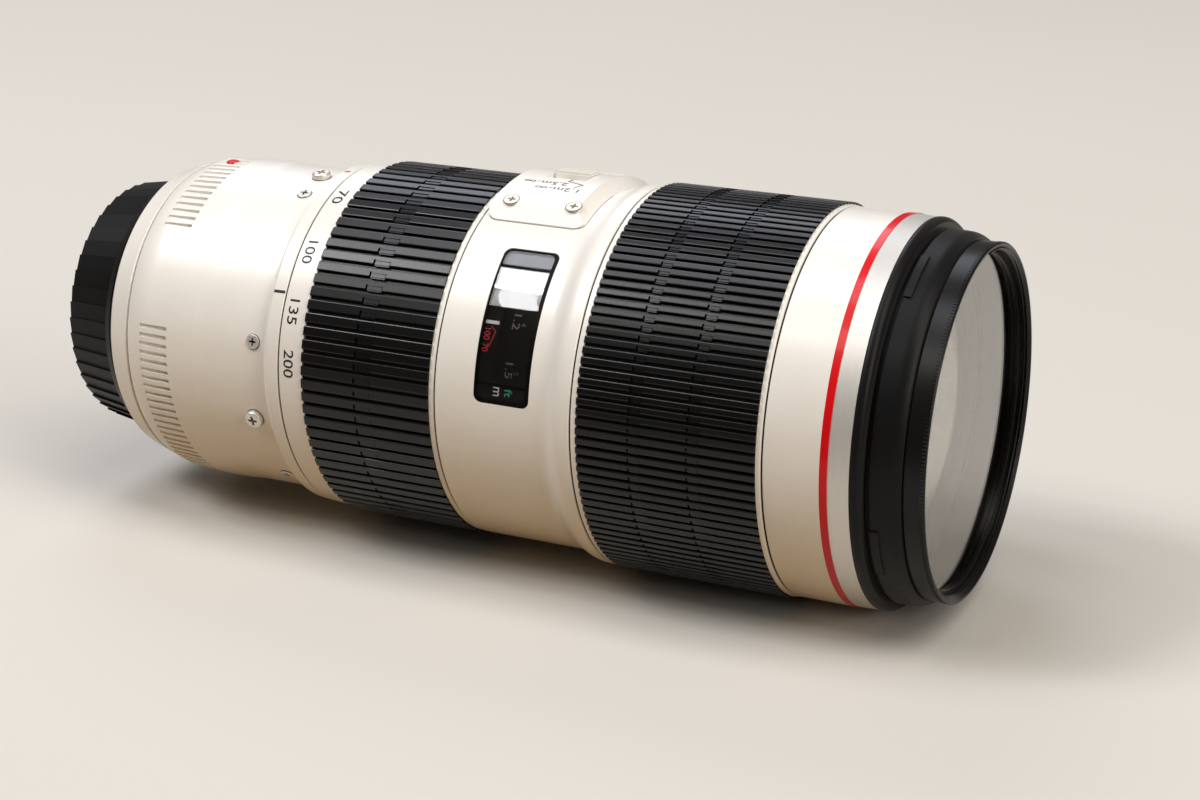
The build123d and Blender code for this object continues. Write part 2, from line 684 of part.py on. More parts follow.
def make_switch(angle):
    """A sliding switch knob with three ridges, and the stem under it."""
    start, end = SWITCH_STATION - 4.5, SWITCH_STATION + 4.5
    base = sector(start, end, KNOB_TOP - 0.6, KNOB_FLOOR + FIT, angle, KNOB_ANGLE)
    ridges = [sector(start, end, KNOB_TOP, KNOB_TOP - 0.7, angle + step, 1.0) for step in (-2.0, 0, 2.0)]
    stem = sector(
        SWITCH_STATION - 1.2, SWITCH_STATION + 1.2, KNOB_FLOOR + 0.2, MID_RADIUS + GAP, angle, STEM_ANGLE
    )
    return base + ridges + stem


def make_distance_drum():
    """The scale under the window, with the web that carries it on the focus cam tube."""
    return turned(
        (101.0, 38.6), (101.0, 39.4), (121.4, 39.4), (121.4, CAM_OUTER), (119.6, CAM_OUTER), (119.6, 38.6),
    )


# Focus ring, its motor and the focus group.

def make_focus_ring():
    return turned(
        (FOCUS_START, FOCUS_GRIP_SEAT - 2), (127.4, FOCUS_GRIP_SEAT - 2),
        (127.4, FOCUS_SLEEVE_RADIUS + FIT), (131.0, FOCUS_SLEEVE_RADIUS + FIT),
        (131.0, FOCUS_GRIP_SEAT - 1.4), (136.8, FOCUS_GRIP_SEAT - 1.4),
        (136.8, FOCUS_SLEEVE_RADIUS + GAP), (140.0, FOCUS_SLEEVE_RADIUS + GAP),
        (140.0, FOCUS_GRIP_SEAT - 1.4), (164.0, FOCUS_GRIP_SEAT - 1.4),
        (164.0, FOCUS_SLEEVE_RADIUS + FIT), (168.6, FOCUS_SLEEVE_RADIUS + FIT),
        (168.6, FOCUS_GRIP_SEAT - 2), (FOCUS_END, FOCUS_GRIP_SEAT - 2),
        (FOCUS_END, 43.5), (FOCUS_END - 0.2, 43.7), (FOCUS_GRIP_END, 43.9),
        (FOCUS_GRIP_END, FOCUS_GRIP_SEAT), (FOCUS_GRIP_START, FOCUS_GRIP_SEAT),
        (FOCUS_GRIP_START, 44.2), (FOCUS_START + 0.2, 44.1), (FOCUS_START, 43.9),
    )


def make_focus_grip():
    return grooved_tube(
        FOCUS_GRIP_START, FOCUS_GRIP_END, FOCUS_GRIP_RADIUS, FOCUS_GRIP_SEAT, FOCUS_RIBS, 0.7, 0.95, 41.5
    )


def make_roller_ring():
    """The ring between the motor and the focus ring, with its rollers and its key through the sleeve."""
    ring = tube(140.5, 144.5, 40.6, FOCUS_SLEEVE_RADIUS + FIT)
    key = sector(141.0, 144.0, FOCUS_SLEEVE_RADIUS + 0.4, CAM_OUTER, KEY_ANGLE, KEY_WIDTH)
    ring += key
    wheels = [
        extrude(spot(142.5, angle, 38.2) * Circle(2.4), 2.2) for angle in (30, 150, 270)
    ]
    return Compound(children=[ring - wheels, *wheels])


def make_motor_rotor():
    return turned(
        (145.0, 38.0), (145.0, 40.8), (147.0, 40.8), (147.0, 40.2), (150.2, 40.2), (150.2, 38.0),
    )


def make_motor_stator():
    """The stator on the fixed sleeve, slotted like a comb on the side of the rotor."""
    stator = tube(150.5, 156.5, 40.6, FOCUS_SLEEVE_RADIUS)
    tooth_count = 36
    cut = Box(2.4, 1.6, 4, align=(Align.MIN, Align.CENTER, Align.MIN))
    cuts = [spot(150.5, index * 360 / tooth_count, 38.6).location * cut for index in range(tooth_count)]
    return stator - cuts


def make_focus_cam():
    cam = tube(119.6, 160.0, CAM_OUTER, GUIDE_OUTER + FIT)
    for index in range(3):
        cam -= cam_slot(FOCUS_STATION, FOCUS_RATE, 30 + index * 120, FOCUS_CAM_MIN, FOCUS_CAM_MAX)
    return cam


# Front of the barrel and the filter.

def make_front_barrel():
    return turned(
        (FRONT_START, 41.4), (FRONT_START, FRONT_RADIUS - 0.2), (FRONT_START + 0.2, FRONT_RADIUS),
        (RED_RING_START, FRONT_RADIUS), (RED_RING_START, SPIGOT_RADIUS),
        (HOOD_MOUNT_START, SPIGOT_RADIUS), (HOOD_MOUNT_START, BEZEL_RADIUS), (180.0, BEZEL_RADIUS),
        (180.0, FOCUS_SLEEVE_RADIUS), (174.0, FOCUS_SLEEVE_RADIUS), (174.0, 41.4),
    )


def make_red_ring():
    return tube(RED_RING_START, BAND_REAR, FRONT_RADIUS, SPIGOT_RADIUS)


def make_name_band():
    return turned(
        (BAND_REAR, SPIGOT_RADIUS), (BAND_REAR, 43.45), (HOOD_MOUNT_START, 43.3),
        (HOOD_MOUNT_START, SPIGOT_RADIUS),
    )


def make_hood_mount():
    """The black ring with the groove and the lugs that a hood's tabs turn behind."""
    groove_start, groove_end = 191.4, 192.6
    outline = [
        Polyline(
            (HOOD_MOUNT_END, BEZEL_RADIUS), (HOOD_MOUNT_START, BEZEL_RADIUS),
            (HOOD_MOUNT_START, 43.1), (HOOD_MOUNT_START + 0.3, 43.4),
        ),
        ThreePointArc((HOOD_MOUNT_START + 0.3, 43.4), (190.7, 43.2), (groove_start, 42.4)),
        Polyline(
            (groove_start, 42.4), (groove_start, 40.4), (groove_end, 40.4), (groove_end, 41.1),
            (groove_end + 0.2, 41.2), (196.0, 41.0),
        ),
        ThreePointArc((196.0, 41.0), (197.9, 40.6), (HOOD_MOUNT_END, 39.9)),
        Line((HOOD_MOUNT_END, 39.9), (HOOD_MOUNT_END, BEZEL_RADIUS)),
    ]
    ring = revolve(make_face(outline), Axis.X)
    lugs = [
        sector(groove_end + 0.1, 194.4, 41.55, 40.8, HOOD_LUG_ANGLE + lug * 90, 18) for lug in range(4)
    ]
    return ring + lugs


def make_front_bezel():
    """The inner ring that holds the front glass and carries the filter thread."""
    return turned(
        (186.0, BEZEL_RADIUS), (HOOD_MOUNT_END, BEZEL_RADIUS), (HOOD_MOUNT_END, THREAD_RADIUS),
        (196.6, THREAD_RADIUS), (196.6, 37.0), (193.6, 36.0), (192.4, 35.6), (192.4, 36.4), (186.0, 36.4),
    )


def make_front_element():
    return lens_glass(187.0, 191.8, 36.4, -2.4, 3.8)


def make_filter_ring():
    return turned(
        (197.0, 37.0), (197.0, THREAD_RADIUS - FIT), (FILTER_START, THREAD_RADIUS - FIT),
        (FILTER_START, FILTER_RADIUS - 0.2), (FILTER_START + 0.2, FILTER_RADIUS),
        (FILTER_END - 0.3, FILTER_RADIUS), (FILTER_END, FILTER_RADIUS - 0.3),
        (FILTER_END, FILTER_RADIUS - 0.7), (FILTER_END - 0.6, THREAD_RADIUS), (201.4, THREAD_RADIUS),
        (201.4, 37.6), (199.7, 37.6), (199.7, 37.0),
    )


def make_filter_glass():
    return turned((199.7, 0), (199.7, 37.6), (200.7, 37.6), (200.7, 0))


def make_filter_retainer():
    return tube(200.7, 201.4, 37.6, 36.9)


def build_lens():
    pieces = {
        "rear_cap": make_rear_cap(),
        "mount_bayonet": make_mount_bayonet(),
        "mount_screws": make_mount_screws(),
        "mount_seal": make_mount_seal(),
        "contact_block": make_contact_block(),
        "contact_pins": make_contact_pins(),
        "rear_ring": make_rear_ring(),
        "rear_barrel": make_rear_barrel(),
        "mount_index_dot": make_mount_index_dot(),
        "barrel_screws": make_barrel_screws(),
        "rear_cell": make_rear_cell(),
        "rear_lens": make_rear_lens(),
        "circuit_board": make_circuit_board(),
        "stabiliser_base": make_stabiliser_base(),
        "stabiliser_frame": make_stabiliser_frame(),
        "stabiliser_cell": make_stabiliser_cell(),
        "stabiliser_lens": make_stabiliser_lens(),
        "iris_ring": make_iris_ring(),
        "guide_tube": make_guide_tube(),
        "cam_tube": make_cam_tube(),
        "zoom_key": make_zoom_key(),
        "zoom_ring": make_zoom_ring(),
        "zoom_grip": make_zoom_grip(),
        "variator_cell": make_cell(VARIATOR_STATION, VARIATOR_HALF, 24.0, (0, 120, 240)),
        "variator_lens": lens_glass(71.0, 78.0, 24.0, -2.2, -1.8),
        "compensator_cell": make_cell(COMPENSATOR_STATION, COMPENSATOR_HALF, 21.0, (60, 180, 300)),
        "compensator_lens": lens_glass(46.0, 50.0, 21.0, 1.6, 2.0),
        "mid_barrel": make_mid_barrel(),
        "window_pane": make_window_pane(),
        "distance_drum": make_distance_drum(),
        "switch_panel": make_switch_panel(),
        "panel_screws": make_panel_screws(),
        "limiter_switch": make_switch(SWITCH_ANGLES[0]),
        "focus_mode_switch": make_switch(SWITCH_ANGLES[1]),
        "stabiliser_switch": make_switch(SWITCH_ANGLES[2]),
        "stabiliser_mode_switch": make_switch(SWITCH_ANGLES[3]),
        "focus_ring": make_focus_ring(),
        "focus_grip": make_focus_grip(),
        "roller_ring": make_roller_ring(),
        "motor_rotor": make_motor_rotor(),
        "motor_stator": make_motor_stator(),
        "focus_cam": make_focus_cam(),
        "focus_cell": make_cell(FOCUS_STATION, FOCUS_HALF, 28.5, (30, 150, 270)),
        "focus_lens": lens_glass(146.0, 154.0, 28.5, 1.5, 3.0),
        "front_barrel": make_front_barrel(),
        "red_ring": make_red_ring(),
        "name_band": make_name_band(),
        "hood_mount": make_hood_mount(),
        "front_bezel": make_front_bezel(),
        "front_element": make_front_element(),
        "filter_ring": make_filter_ring(),
        "filter_glass": make_filter_glass(),
        "filter_retainer": make_filter_retainer(),
    }
    for index in range(IRIS_BLADES):
        pieces[f"iris_blade_{index + 1}"] = make_iris_blade(index)
    os.makedirs("parts", exist_ok=True)
    for name, shape in pieces.items():
        export_step(shape, f"parts/{name}.step")


build_lens()
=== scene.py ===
import bpy
import bmesh
import json
from math import atan2, cos, degrees, pi, radians, sin
from mathutils import Matrix, Vector


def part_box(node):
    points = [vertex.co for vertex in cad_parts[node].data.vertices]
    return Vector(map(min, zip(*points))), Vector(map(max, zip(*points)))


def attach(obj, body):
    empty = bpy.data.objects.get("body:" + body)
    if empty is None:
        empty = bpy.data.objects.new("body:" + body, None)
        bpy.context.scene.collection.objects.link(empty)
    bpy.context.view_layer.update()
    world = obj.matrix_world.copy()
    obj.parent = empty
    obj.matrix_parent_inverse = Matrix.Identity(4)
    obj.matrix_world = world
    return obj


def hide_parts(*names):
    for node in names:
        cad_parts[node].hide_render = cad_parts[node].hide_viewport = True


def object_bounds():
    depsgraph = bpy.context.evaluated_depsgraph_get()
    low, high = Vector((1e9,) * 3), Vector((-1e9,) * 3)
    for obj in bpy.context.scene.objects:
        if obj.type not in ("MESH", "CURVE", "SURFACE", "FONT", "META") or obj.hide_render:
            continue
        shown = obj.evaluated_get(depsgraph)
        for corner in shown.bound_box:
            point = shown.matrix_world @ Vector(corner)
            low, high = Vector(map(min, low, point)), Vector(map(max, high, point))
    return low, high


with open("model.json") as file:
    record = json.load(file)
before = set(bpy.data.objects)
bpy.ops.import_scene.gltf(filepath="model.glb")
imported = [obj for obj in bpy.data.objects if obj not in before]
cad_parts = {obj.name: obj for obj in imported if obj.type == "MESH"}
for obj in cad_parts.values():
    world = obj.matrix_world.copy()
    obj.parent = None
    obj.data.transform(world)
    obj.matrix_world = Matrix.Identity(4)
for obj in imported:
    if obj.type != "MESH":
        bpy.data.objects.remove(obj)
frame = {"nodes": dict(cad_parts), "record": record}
cad_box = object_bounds()

# The lens lies on its side: the optical axis is X, the front points along +X.
# Angles go round the axis from straight up towards -Y, as on the real scales.
# Lengths are written in millimetres and turned to metres by MM.
MM = 0.001

# Places on the solids that the box of a whole solid doesn't give
SEAT_RADIUS = 39.05
PANEL_RADIUS = 44.6
PANEL_FOOT_RADIUS = 42.02
REAR_BARREL_RIM = 51.2
MIDDLE_BARREL_LIP = 126.2
INDEX_ANGLE = 61.2


def low(piece):
    """The rearmost station of a solid, in millimetres."""
    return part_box(piece)[0].x / MM


def high(piece):
    """The foremost station of a solid, in millimetres."""
    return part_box(piece)[1].x / MM


def widest(piece):
    """The largest radius of a solid, in millimetres."""
    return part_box(piece)[1].z / MM


def on_barrel(station, angle, radius):
    """A point given by its station, its angle and its radius, in metres."""
    turn = radians(angle)
    return Vector((station * MM, -radius * MM * sin(turn), radius * MM * cos(turn)))


# Camera: it stands to the right of the lens and above it

CAMERA_AZIMUTH = 25.5
CAMERA_ELEVATION = 19.0
CAMERA_FOCAL_LENGTH = 69.2
CAMERA_SENSOR_WIDTH = 36
FRONT_RIGHT_OF_VIEW = 82.3
FRONT_BELOW_VIEW = 5.2
FRONT_AHEAD = 497.6


def make_camera():
    azimuth, elevation = radians(CAMERA_AZIMUTH), radians(CAMERA_ELEVATION)
    right = Vector((cos(azimuth), sin(azimuth), 0))
    ahead = Vector((-sin(azimuth) * cos(elevation), cos(azimuth) * cos(elevation), -sin(elevation)))
    up = right.cross(ahead)
    front_centre = Vector((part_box("filter_ring")[1].x, 0, 0))
    bpy.ops.object.camera_add()
    camera = bpy.context.object
    camera.location = front_centre - MM * (
        FRONT_RIGHT_OF_VIEW * right - FRONT_BELOW_VIEW * up + FRONT_AHEAD * ahead
    )
    camera.rotation_euler = ahead.to_track_quat("-Z", "Y").to_euler()
    camera.data.lens = CAMERA_FOCAL_LENGTH
    camera.data.sensor_width = CAMERA_SENSOR_WIDTH
    camera.data.clip_start = 0.01
    camera.data.clip_end = 50
    bpy.context.scene.camera = camera


# Studio, in metres: background paper on a dark table, under softboxes in a dim room

GROUND_SIZE = 16
PAPER_END = -0.24
TABLE_BELOW_PAPER = 0.001
ROOM_COLOUR = "#F2E2CE"
ROOM_STRENGTH = 0.1


def softbox(name, aim, direction, distance, width, height, power, colour):
    """An area lamp whose width lies along the lens."""
    bpy.ops.object.light_add(type="AREA")
    lamp = bpy.context.object
    lamp.name = name
    toward = Vector(direction).normalized()
    lamp.location = Vector(aim) + distance * toward
    across = (Vector((1, 0, 0)) - toward.x * toward).normalized()
    lamp.rotation_euler = Matrix((across, toward.cross(across), toward)).transposed().to_euler()
    lamp.data.shape = "RECTANGLE"
    lamp.data.size = width
    lamp.data.size_y = height
    lamp.data.energy = power
    lamp.data.color = linear(colour)[:3]


def light_from_the_left(aim):
    """The window, the wall beside it, a doorway's slit of light and the sky, seen in the glossy rings."""
    softbox(
        "window_softbox", aim, (-0.55, -0.32, 0.771), distance=3.0, width=0.9, height=0.7, power=33,
        colour="#FBFCFF")
    softbox(
        "near_wall_softbox", aim, (-0.42, -0.514, 0.748), distance=3.2, width=2.2, height=0.68, power=21,
        colour="#FFFBF5")
    softbox(
        "doorway_softbox", aim, (-0.436, -0.51, 0.742), distance=3.1, width=0.06, height=0.68, power=1,
        colour="#FBFCFF")
    softbox(
        "skylight_softbox", aim, (-0.3, -0.05, 0.95), distance=4.0, width=1.8, height=1.2, power=32,
        colour="#F4F7FF")


def light_from_the_room(aim):
    """Softer light from behind the lens, from the ceiling and on its front."""
    softbox(
        "far_softbox", aim, (-0.4, 0.62, 0.67), distance=4.0, width=1.8, height=1.6, power=32,
        colour="#EEF2FF")
    softbox(
        "ceiling_softbox", aim, (0.5, -0.12, 0.85), distance=4.0, width=3.2, height=1.8, power=80,
        colour="#FFFAF2")
    softbox(
        "front_softbox", aim, (0.95, -0.35, 0.45), distance=4.0, width=1.6, height=1.6, power=54,
        colour="#FFFAF2")


def add_ground(name, centre, ground_material):
    """A wide flat sheet to stand on."""
    bpy.ops.mesh.primitive_plane_add(size=GROUND_SIZE, location=centre)
    ground = bpy.context.object
    ground.name = name
    ground.data.materials.append(ground_material)
    return ground


def make_dim_room():
    """A faint warm light from all round."""
    world = bpy.data.worlds.new("room")
    bpy.context.scene.world = world
    world.use_nodes = True
    world.node_tree.nodes.clear()
    room = node(world.node_tree, "ShaderNodeBackground", {
        "Color": linear(ROOM_COLOUR), "Strength": ROOM_STRENGTH})
    node(world.node_tree, "ShaderNodeOutputWorld", {"Surface": room})


def make_studio():
    bpy.context.scene.view_settings.view_transform = "Standard"
    middle = (cad_box[0] + cad_box[1]) / 2
    underside = cad_box[0].z
    floor = add_ground("floor", (middle.x, PAPER_END + GROUND_SIZE / 2, underside), background_paper())
    table_centre = (middle.x, PAPER_END - GROUND_SIZE / 2, underside - TABLE_BELOW_PAPER)
    table = add_ground("table", table_centre, table_wood())
    light_from_the_left(middle)
    light_from_the_room(middle)
    make_dim_room()


# Material helpers

# The sockets of a colour mix go by these numbers
MIX_FACTOR, MIX_FIRST, MIX_SECOND, MIX_RESULT = 0, 6, 7, 2


def linear(colour):
    """An sRGB hex colour as linear red, green, blue and alpha."""
    channels = [int(colour[place:place + 2], 16) / 255 for place in (1, 3, 5)]
    return [c / 12.92 if c <= 0.04045 else ((c + 0.055) / 1.055) ** 2.4 for c in channels] + [1.0]


def node(tree, kind, inputs, **settings):
    """Adds a node. An input takes a plain value, another node's first output or a named output."""
    added = tree.nodes.new(kind)
    for name, value in settings.items():
        setattr(added, name, value)
    feed(tree, added, inputs)
    return added


def feed(tree, fed, inputs):
    for name, value in inputs.items():
        if isinstance(value, bpy.types.Node):
            value = value.outputs[0]
        if isinstance(value, bpy.types.NodeSocket):
            tree.links.new(value, fed.inputs[name])
        else:
            fed.inputs[name].default_value = value


def finish(name, colour, roughness, **shader_values):
    """A principled material: its material, its tree, its shader and the place on the object."""
    made = bpy.data.materials.new(name)
    made.use_nodes = True
    tree = made.node_tree
    shader = tree.nodes["Principled BSDF"]
    feed(tree, shader, {"Base Color": linear(colour), "Roughness": roughness})
    feed(tree, shader, {socket.replace("_", " "): value for socket, value in shader_values.items()})
    place = node(tree, "ShaderNodeTexCoord", {}).outputs["Object"]
    return made, tree, shader, place


def grains(size):
    """The scale of a noise whose grains are size millimetres across."""
    return 1 / (size * MM)


# Materials, each named for what the real piece is made of

def background_paper():
    """Matte background paper: pale and nearly neutral, with a slow change of tone."""
    made, tree, shader, place = finish("matte_background_paper", "#CFCBC5", 0.95, Specular_IOR_Level=0.1)
    cloud = node(tree, "ShaderNodeTexNoise", {"Vector": place, "Scale": grains(420)})
    tone = node(tree, "ShaderNodeMix", {
        MIX_FACTOR: cloud, MIX_FIRST: linear("#CDC9C2"), MIX_SECOND: linear("#D2CEC8")}, data_type="RGBA")
    # Where it is seen, in a mirror or through glass too, it is pale. The light it throws back is warmer.
    path = node(tree, "ShaderNodeLightPath", {})
    seen_or_mirrored = node(tree, "ShaderNodeMath", {
        0: path.outputs["Is Camera Ray"], 1: path.outputs["Is Glossy Ray"]}, operation="MAXIMUM")
    seen_at_all = node(tree, "ShaderNodeMath", {
        0: seen_or_mirrored, 1: path.outputs["Is Transmission Ray"]}, operation="MAXIMUM")
    paper = node(tree, "ShaderNodeMix", {
        MIX_FACTOR: seen_at_all, MIX_FIRST: linear("#9A7F58"), MIX_SECOND: tone.outputs[MIX_RESULT],
    }, data_type="RGBA")
    feed(tree, shader, {"Base Color": paper.outputs[MIX_RESULT]})
    return made


def table_wood():
    """Dark stained oak of the table that the paper lies on."""
    made, tree, shader, place = finish("stained_oak", "#3A2F26", 0.5)
    drawn = node(tree, "ShaderNodeMapping", {"Vector": place, "Scale": (0.08, 1, 1)})
    figure = node(tree, "ShaderNodeTexNoise", {"Vector": drawn, "Scale": grains(6), "Detail": 4.0})
    tone = node(tree, "ShaderNodeMix", {
        MIX_FACTOR: figure, MIX_FIRST: linear("#2E251E"), MIX_SECOND: linear("#463A2F")}, data_type="RGBA")
    feed(tree, shader, {"Base Color": tone.outputs[MIX_RESULT]})
    return made


def cream_enamel():
    """Sprayed and baked enamel on magnesium: warm white, an even sheen with fine orange peel."""
    made, tree, shader, place = finish(
        "sprayed_cream_enamel", "#EEEBE4", 0.4, Coat_Weight=0.6, Coat_Roughness=0.22)
    cloud = node(tree, "ShaderNodeTexNoise", {"Vector": place, "Scale": grains(9), "Detail": 3.0})
    tone = node(tree, "ShaderNodeMix", {
        MIX_FACTOR: cloud, MIX_FIRST: linear("#ECE8E1"), MIX_SECOND: linear("#F1EEE8")}, data_type="RGBA")
    peel = node(tree, "ShaderNodeTexNoise", {"Vector": place, "Scale": grains(0.22), "Detail": 1.0})
    sheen = node(tree, "ShaderNodeMapRange", {"Value": peel, "To Min": 0.34, "To Max": 0.48})
    relief = node(tree, "ShaderNodeBump", {"Height": peel, "Distance": 0.006 * MM})
    feed(tree, shader, {"Base Color": tone.outputs[MIX_RESULT], "Roughness": sheen, "Normal": relief})
    return made


def grip_rubber():
    """Moulded nitrile rubber: near black with a low gloss, a fine blasted grain and a faint bloom."""
    made, tree, shader, place = finish(
        "moulded_nitrile_rubber", "#08080A", 0.3, Specular_IOR_Level=0.36)
    bloom = node(tree, "ShaderNodeTexNoise", {"Vector": place, "Scale": grains(6), "Detail": 2.0})
    tone = node(tree, "ShaderNodeMix", {
        MIX_FACTOR: bloom, MIX_FIRST: linear("#060607"), MIX_SECOND: linear("#0A0A0C")}, data_type="RGBA")
    grain = node(tree, "ShaderNodeTexNoise", {"Vector": place, "Scale": grains(0.18), "Detail": 3.0})
    sheen = node(tree, "ShaderNodeMapRange", {"Value": grain, "To Min": 0.24, "To Max": 0.36})
    relief = node(tree, "ShaderNodeBump", {"Height": grain, "Distance": 0.01 * MM})
    feed(tree, shader, {"Base Color": tone.outputs[MIX_RESULT], "Roughness": sheen, "Normal": relief})
    return made


def black_anodised():
    """Anodised aluminium: dyed black with a satin sheen from fine turning."""
    made, tree, shader, place = finish(
        "black_anodised_aluminium", "#101010", 0.3, Specular_IOR_Level=0.22, Sheen_Weight=0.1,
        Sheen_Roughness=0.3)
    grain = node(tree, "ShaderNodeTexNoise", {"Vector": place, "Scale": grains(0.3), "Detail": 2.0})
    tone = node(tree, "ShaderNodeMix", {
        MIX_FACTOR: grain, MIX_FIRST: linear("#0D0D0D"), MIX_SECOND: linear("#131313")}, data_type="RGBA")
    sheen = node(tree, "ShaderNodeMapRange", {"Value": grain, "To Min": 0.26, "To Max": 0.36})
    relief = node(tree, "ShaderNodeBump", {"Height": grain, "Distance": 0.003 * MM})
    feed(tree, shader, {"Base Color": tone.outputs[MIX_RESULT], "Roughness": sheen, "Normal": relief})
    return made


def moulded_abs():
    """Injection moulded ABS: black with a fine spark-eroded grain, satin where it is handled."""
    made, tree, shader, place = finish(
        "moulded_black_abs", "#111112", 0.36, Specular_IOR_Level=0.14, Sheen_Weight=0.1, Sheen_Roughness=0.4)
    grain = node(tree, "ShaderNodeTexNoise", {"Vector": place, "Scale": grains(0.35), "Detail": 3.0})
    tone = node(tree, "ShaderNodeMix", {
        MIX_FACTOR: grain, MIX_FIRST: linear("#0E0E0F"), MIX_SECOND: linear("#141415")}, data_type="RGBA")
    sheen = node(tree, "ShaderNodeMapRange", {"Value": grain, "To Min": 0.32, "To Max": 0.48})
    relief = node(tree, "ShaderNodeBump", {"Height": grain, "Distance": 0.01 * MM})
    feed(tree, shader, {"Base Color": tone.outputs[MIX_RESULT], "Roughness": sheen, "Normal": relief})
    return made


def dull_cream(name):
    """Cream matched to the enamel but duller, with a fine even grain."""
    made, tree, shader, place = finish(name, "#E9E5DE", 0.45)
    grain = node(tree, "ShaderNodeTexNoise", {"Vector": place, "Scale": grains(0.25), "Detail": 2.0})
    tone = node(tree, "ShaderNodeMix", {
        MIX_FACTOR: grain, MIX_FIRST: linear("#E6E1D9"), MIX_SECOND: linear("#ECE9E3")}, data_type="RGBA")
    relief = node(tree, "ShaderNodeBump", {"Height": grain, "Distance": 0.006 * MM})
    feed(tree, shader, {"Base Color": tone.outputs[MIX_RESULT], "Normal": relief})
    return made


def cream_abs():
    """Moulded cream ABS of the switch knobs: as warm as the enamel, without its sheen."""
    return dull_cream("moulded_cream_abs")


def cream_painted_steel():
    """Steel of the panel's screws under baked cream paint, as dull as the knobs."""
    return dull_cream("cream_painted_steel")


def satin_chrome():
    """Chromed brass of the mount: bright, with a slight scatter of wear marks."""
    made, tree, shader, place = finish("satin_chromed_brass", "#C9C9CB", 0.2, Metallic=1.0)
    marks = node(tree, "ShaderNodeTexNoise", {"Vector": place, "Scale": grains(0.12), "Detail": 2.0})
    sheen = node(tree, "ShaderNodeMapRange", {"Value": marks, "To Min": 0.14, "To Max": 0.3})
    feed(tree, shader, {"Roughness": sheen})
    return made


def screw_steel():
    """Nickel plated steel of the small screws: bright, a little worn in the cross."""
    made, tree, shader, place = finish("nickel_plated_steel", "#DDD9D1", 0.4, Metallic=0.6)
    marks = node(tree, "ShaderNodeTexNoise", {"Vector": place, "Scale": grains(0.4), "Detail": 3.0})
    tone = node(tree, "ShaderNodeMix", {
        MIX_FACTOR: marks, MIX_FIRST: linear("#D2CDC4"), MIX_SECOND: linear("#E6E3DC")}, data_type="RGBA")
    sheen = node(tree, "ShaderNodeMapRange", {"Value": marks, "To Min": 0.3, "To Max": 0.5})
    feed(tree, shader, {"Base Color": tone.outputs[MIX_RESULT], "Roughness": sheen})
    return made


def turned_silver():
    """Clear anodised aluminium of the front band: fine turned lines and a soft gleam."""
    made, tree, shader, place = finish("clear_anodised_aluminium", "#D6D2CC", 0.46, Metallic=0.6)
    drawn = node(tree, "ShaderNodeMapping", {"Vector": place, "Scale": (18, 1, 1)})
    lines = node(tree, "ShaderNodeTexNoise", {"Vector": drawn, "Scale": grains(3), "Detail": 3.0})
    tone = node(tree, "ShaderNodeMix", {
        MIX_FACTOR: lines, MIX_FIRST: linear("#CFCBC5"), MIX_SECOND: linear("#DDDAD5")}, data_type="RGBA")
    sheen = node(tree, "ShaderNodeMapRange", {"Value": lines, "To Min": 0.4, "To Max": 0.54})
    feed(tree, shader, {"Base Color": tone.outputs[MIX_RESULT], "Roughness": sheen})
    return made


def red_enamel():
    """Glossy red enamel of the accent ring."""
    made, tree, shader, place = finish(
        "glossy_red_enamel", "#CC0A12", 0.3, Specular_IOR_Level=0.2, Coat_Weight=0.2, Coat_Roughness=0.1)
    cloud = node(tree, "ShaderNodeTexNoise", {"Vector": place, "Scale": grains(5), "Detail": 2.0})
    tone = node(tree, "ShaderNodeMix", {
        MIX_FACTOR: cloud, MIX_FIRST: linear("#CE0810"), MIX_SECOND: linear("#DC101A")}, data_type="RGBA")
    feed(tree, shader, {"Base Color": tone.outputs[MIX_RESULT]})
    return made


def seal_rubber():
    """Soft black sealing rubber round the mount. The black rings of painted shade in the gaps between the
    rings wear it too.
    """
    made, tree, shader, place = finish("sealing_rubber", "#0A0A0B", 0.65, Specular_IOR_Level=0.2)
    grain = node(tree, "ShaderNodeTexNoise", {"Vector": place, "Scale": grains(0.3), "Detail": 2.0})
    relief = node(tree, "ShaderNodeBump", {"Height": grain, "Distance": 0.01 * MM})
    feed(tree, shader, {"Normal": relief})
    return made


def gold_plate():
    """Gold plated brass of the contact pins."""
    made, tree, shader, place = finish("gold_plated_brass", "#E0B458", 0.2, Metallic=1.0)
    marks = node(tree, "ShaderNodeTexNoise", {"Vector": place, "Scale": grains(0.2), "Detail": 2.0})
    sheen = node(tree, "ShaderNodeMapRange", {"Value": marks, "To Min": 0.14, "To Max": 0.3})
    feed(tree, shader, {"Roughness": sheen})
    return made


def bare_brass():
    """Machined brass of the motor's stator."""
    made, tree, shader, place = finish("machined_brass", "#B89A5E", 0.3, Metallic=1.0)
    marks = node(tree, "ShaderNodeTexNoise", {"Vector": place, "Scale": grains(0.3), "Detail": 2.0})
    sheen = node(tree, "ShaderNodeMapRange", {"Value": marks, "To Min": 0.22, "To Max": 0.4})
    feed(tree, shader, {"Roughness": sheen})
    return made


def circuit_laminate():
    """Glass fibre board under green solder mask."""
    made, tree, shader, place = finish("green_solder_mask", "#16492C", 0.35)
    weave = node(tree, "ShaderNodeTexNoise", {"Vector": place, "Scale": grains(0.6), "Detail": 2.0})
    tone = node(tree, "ShaderNodeMix", {
        MIX_FACTOR: weave, MIX_FIRST: linear("#123F26"), MIX_SECOND: linear("#1B5534")}, data_type="RGBA")
    feed(tree, shader, {"Base Color": tone.outputs[MIX_RESULT]})
    return made


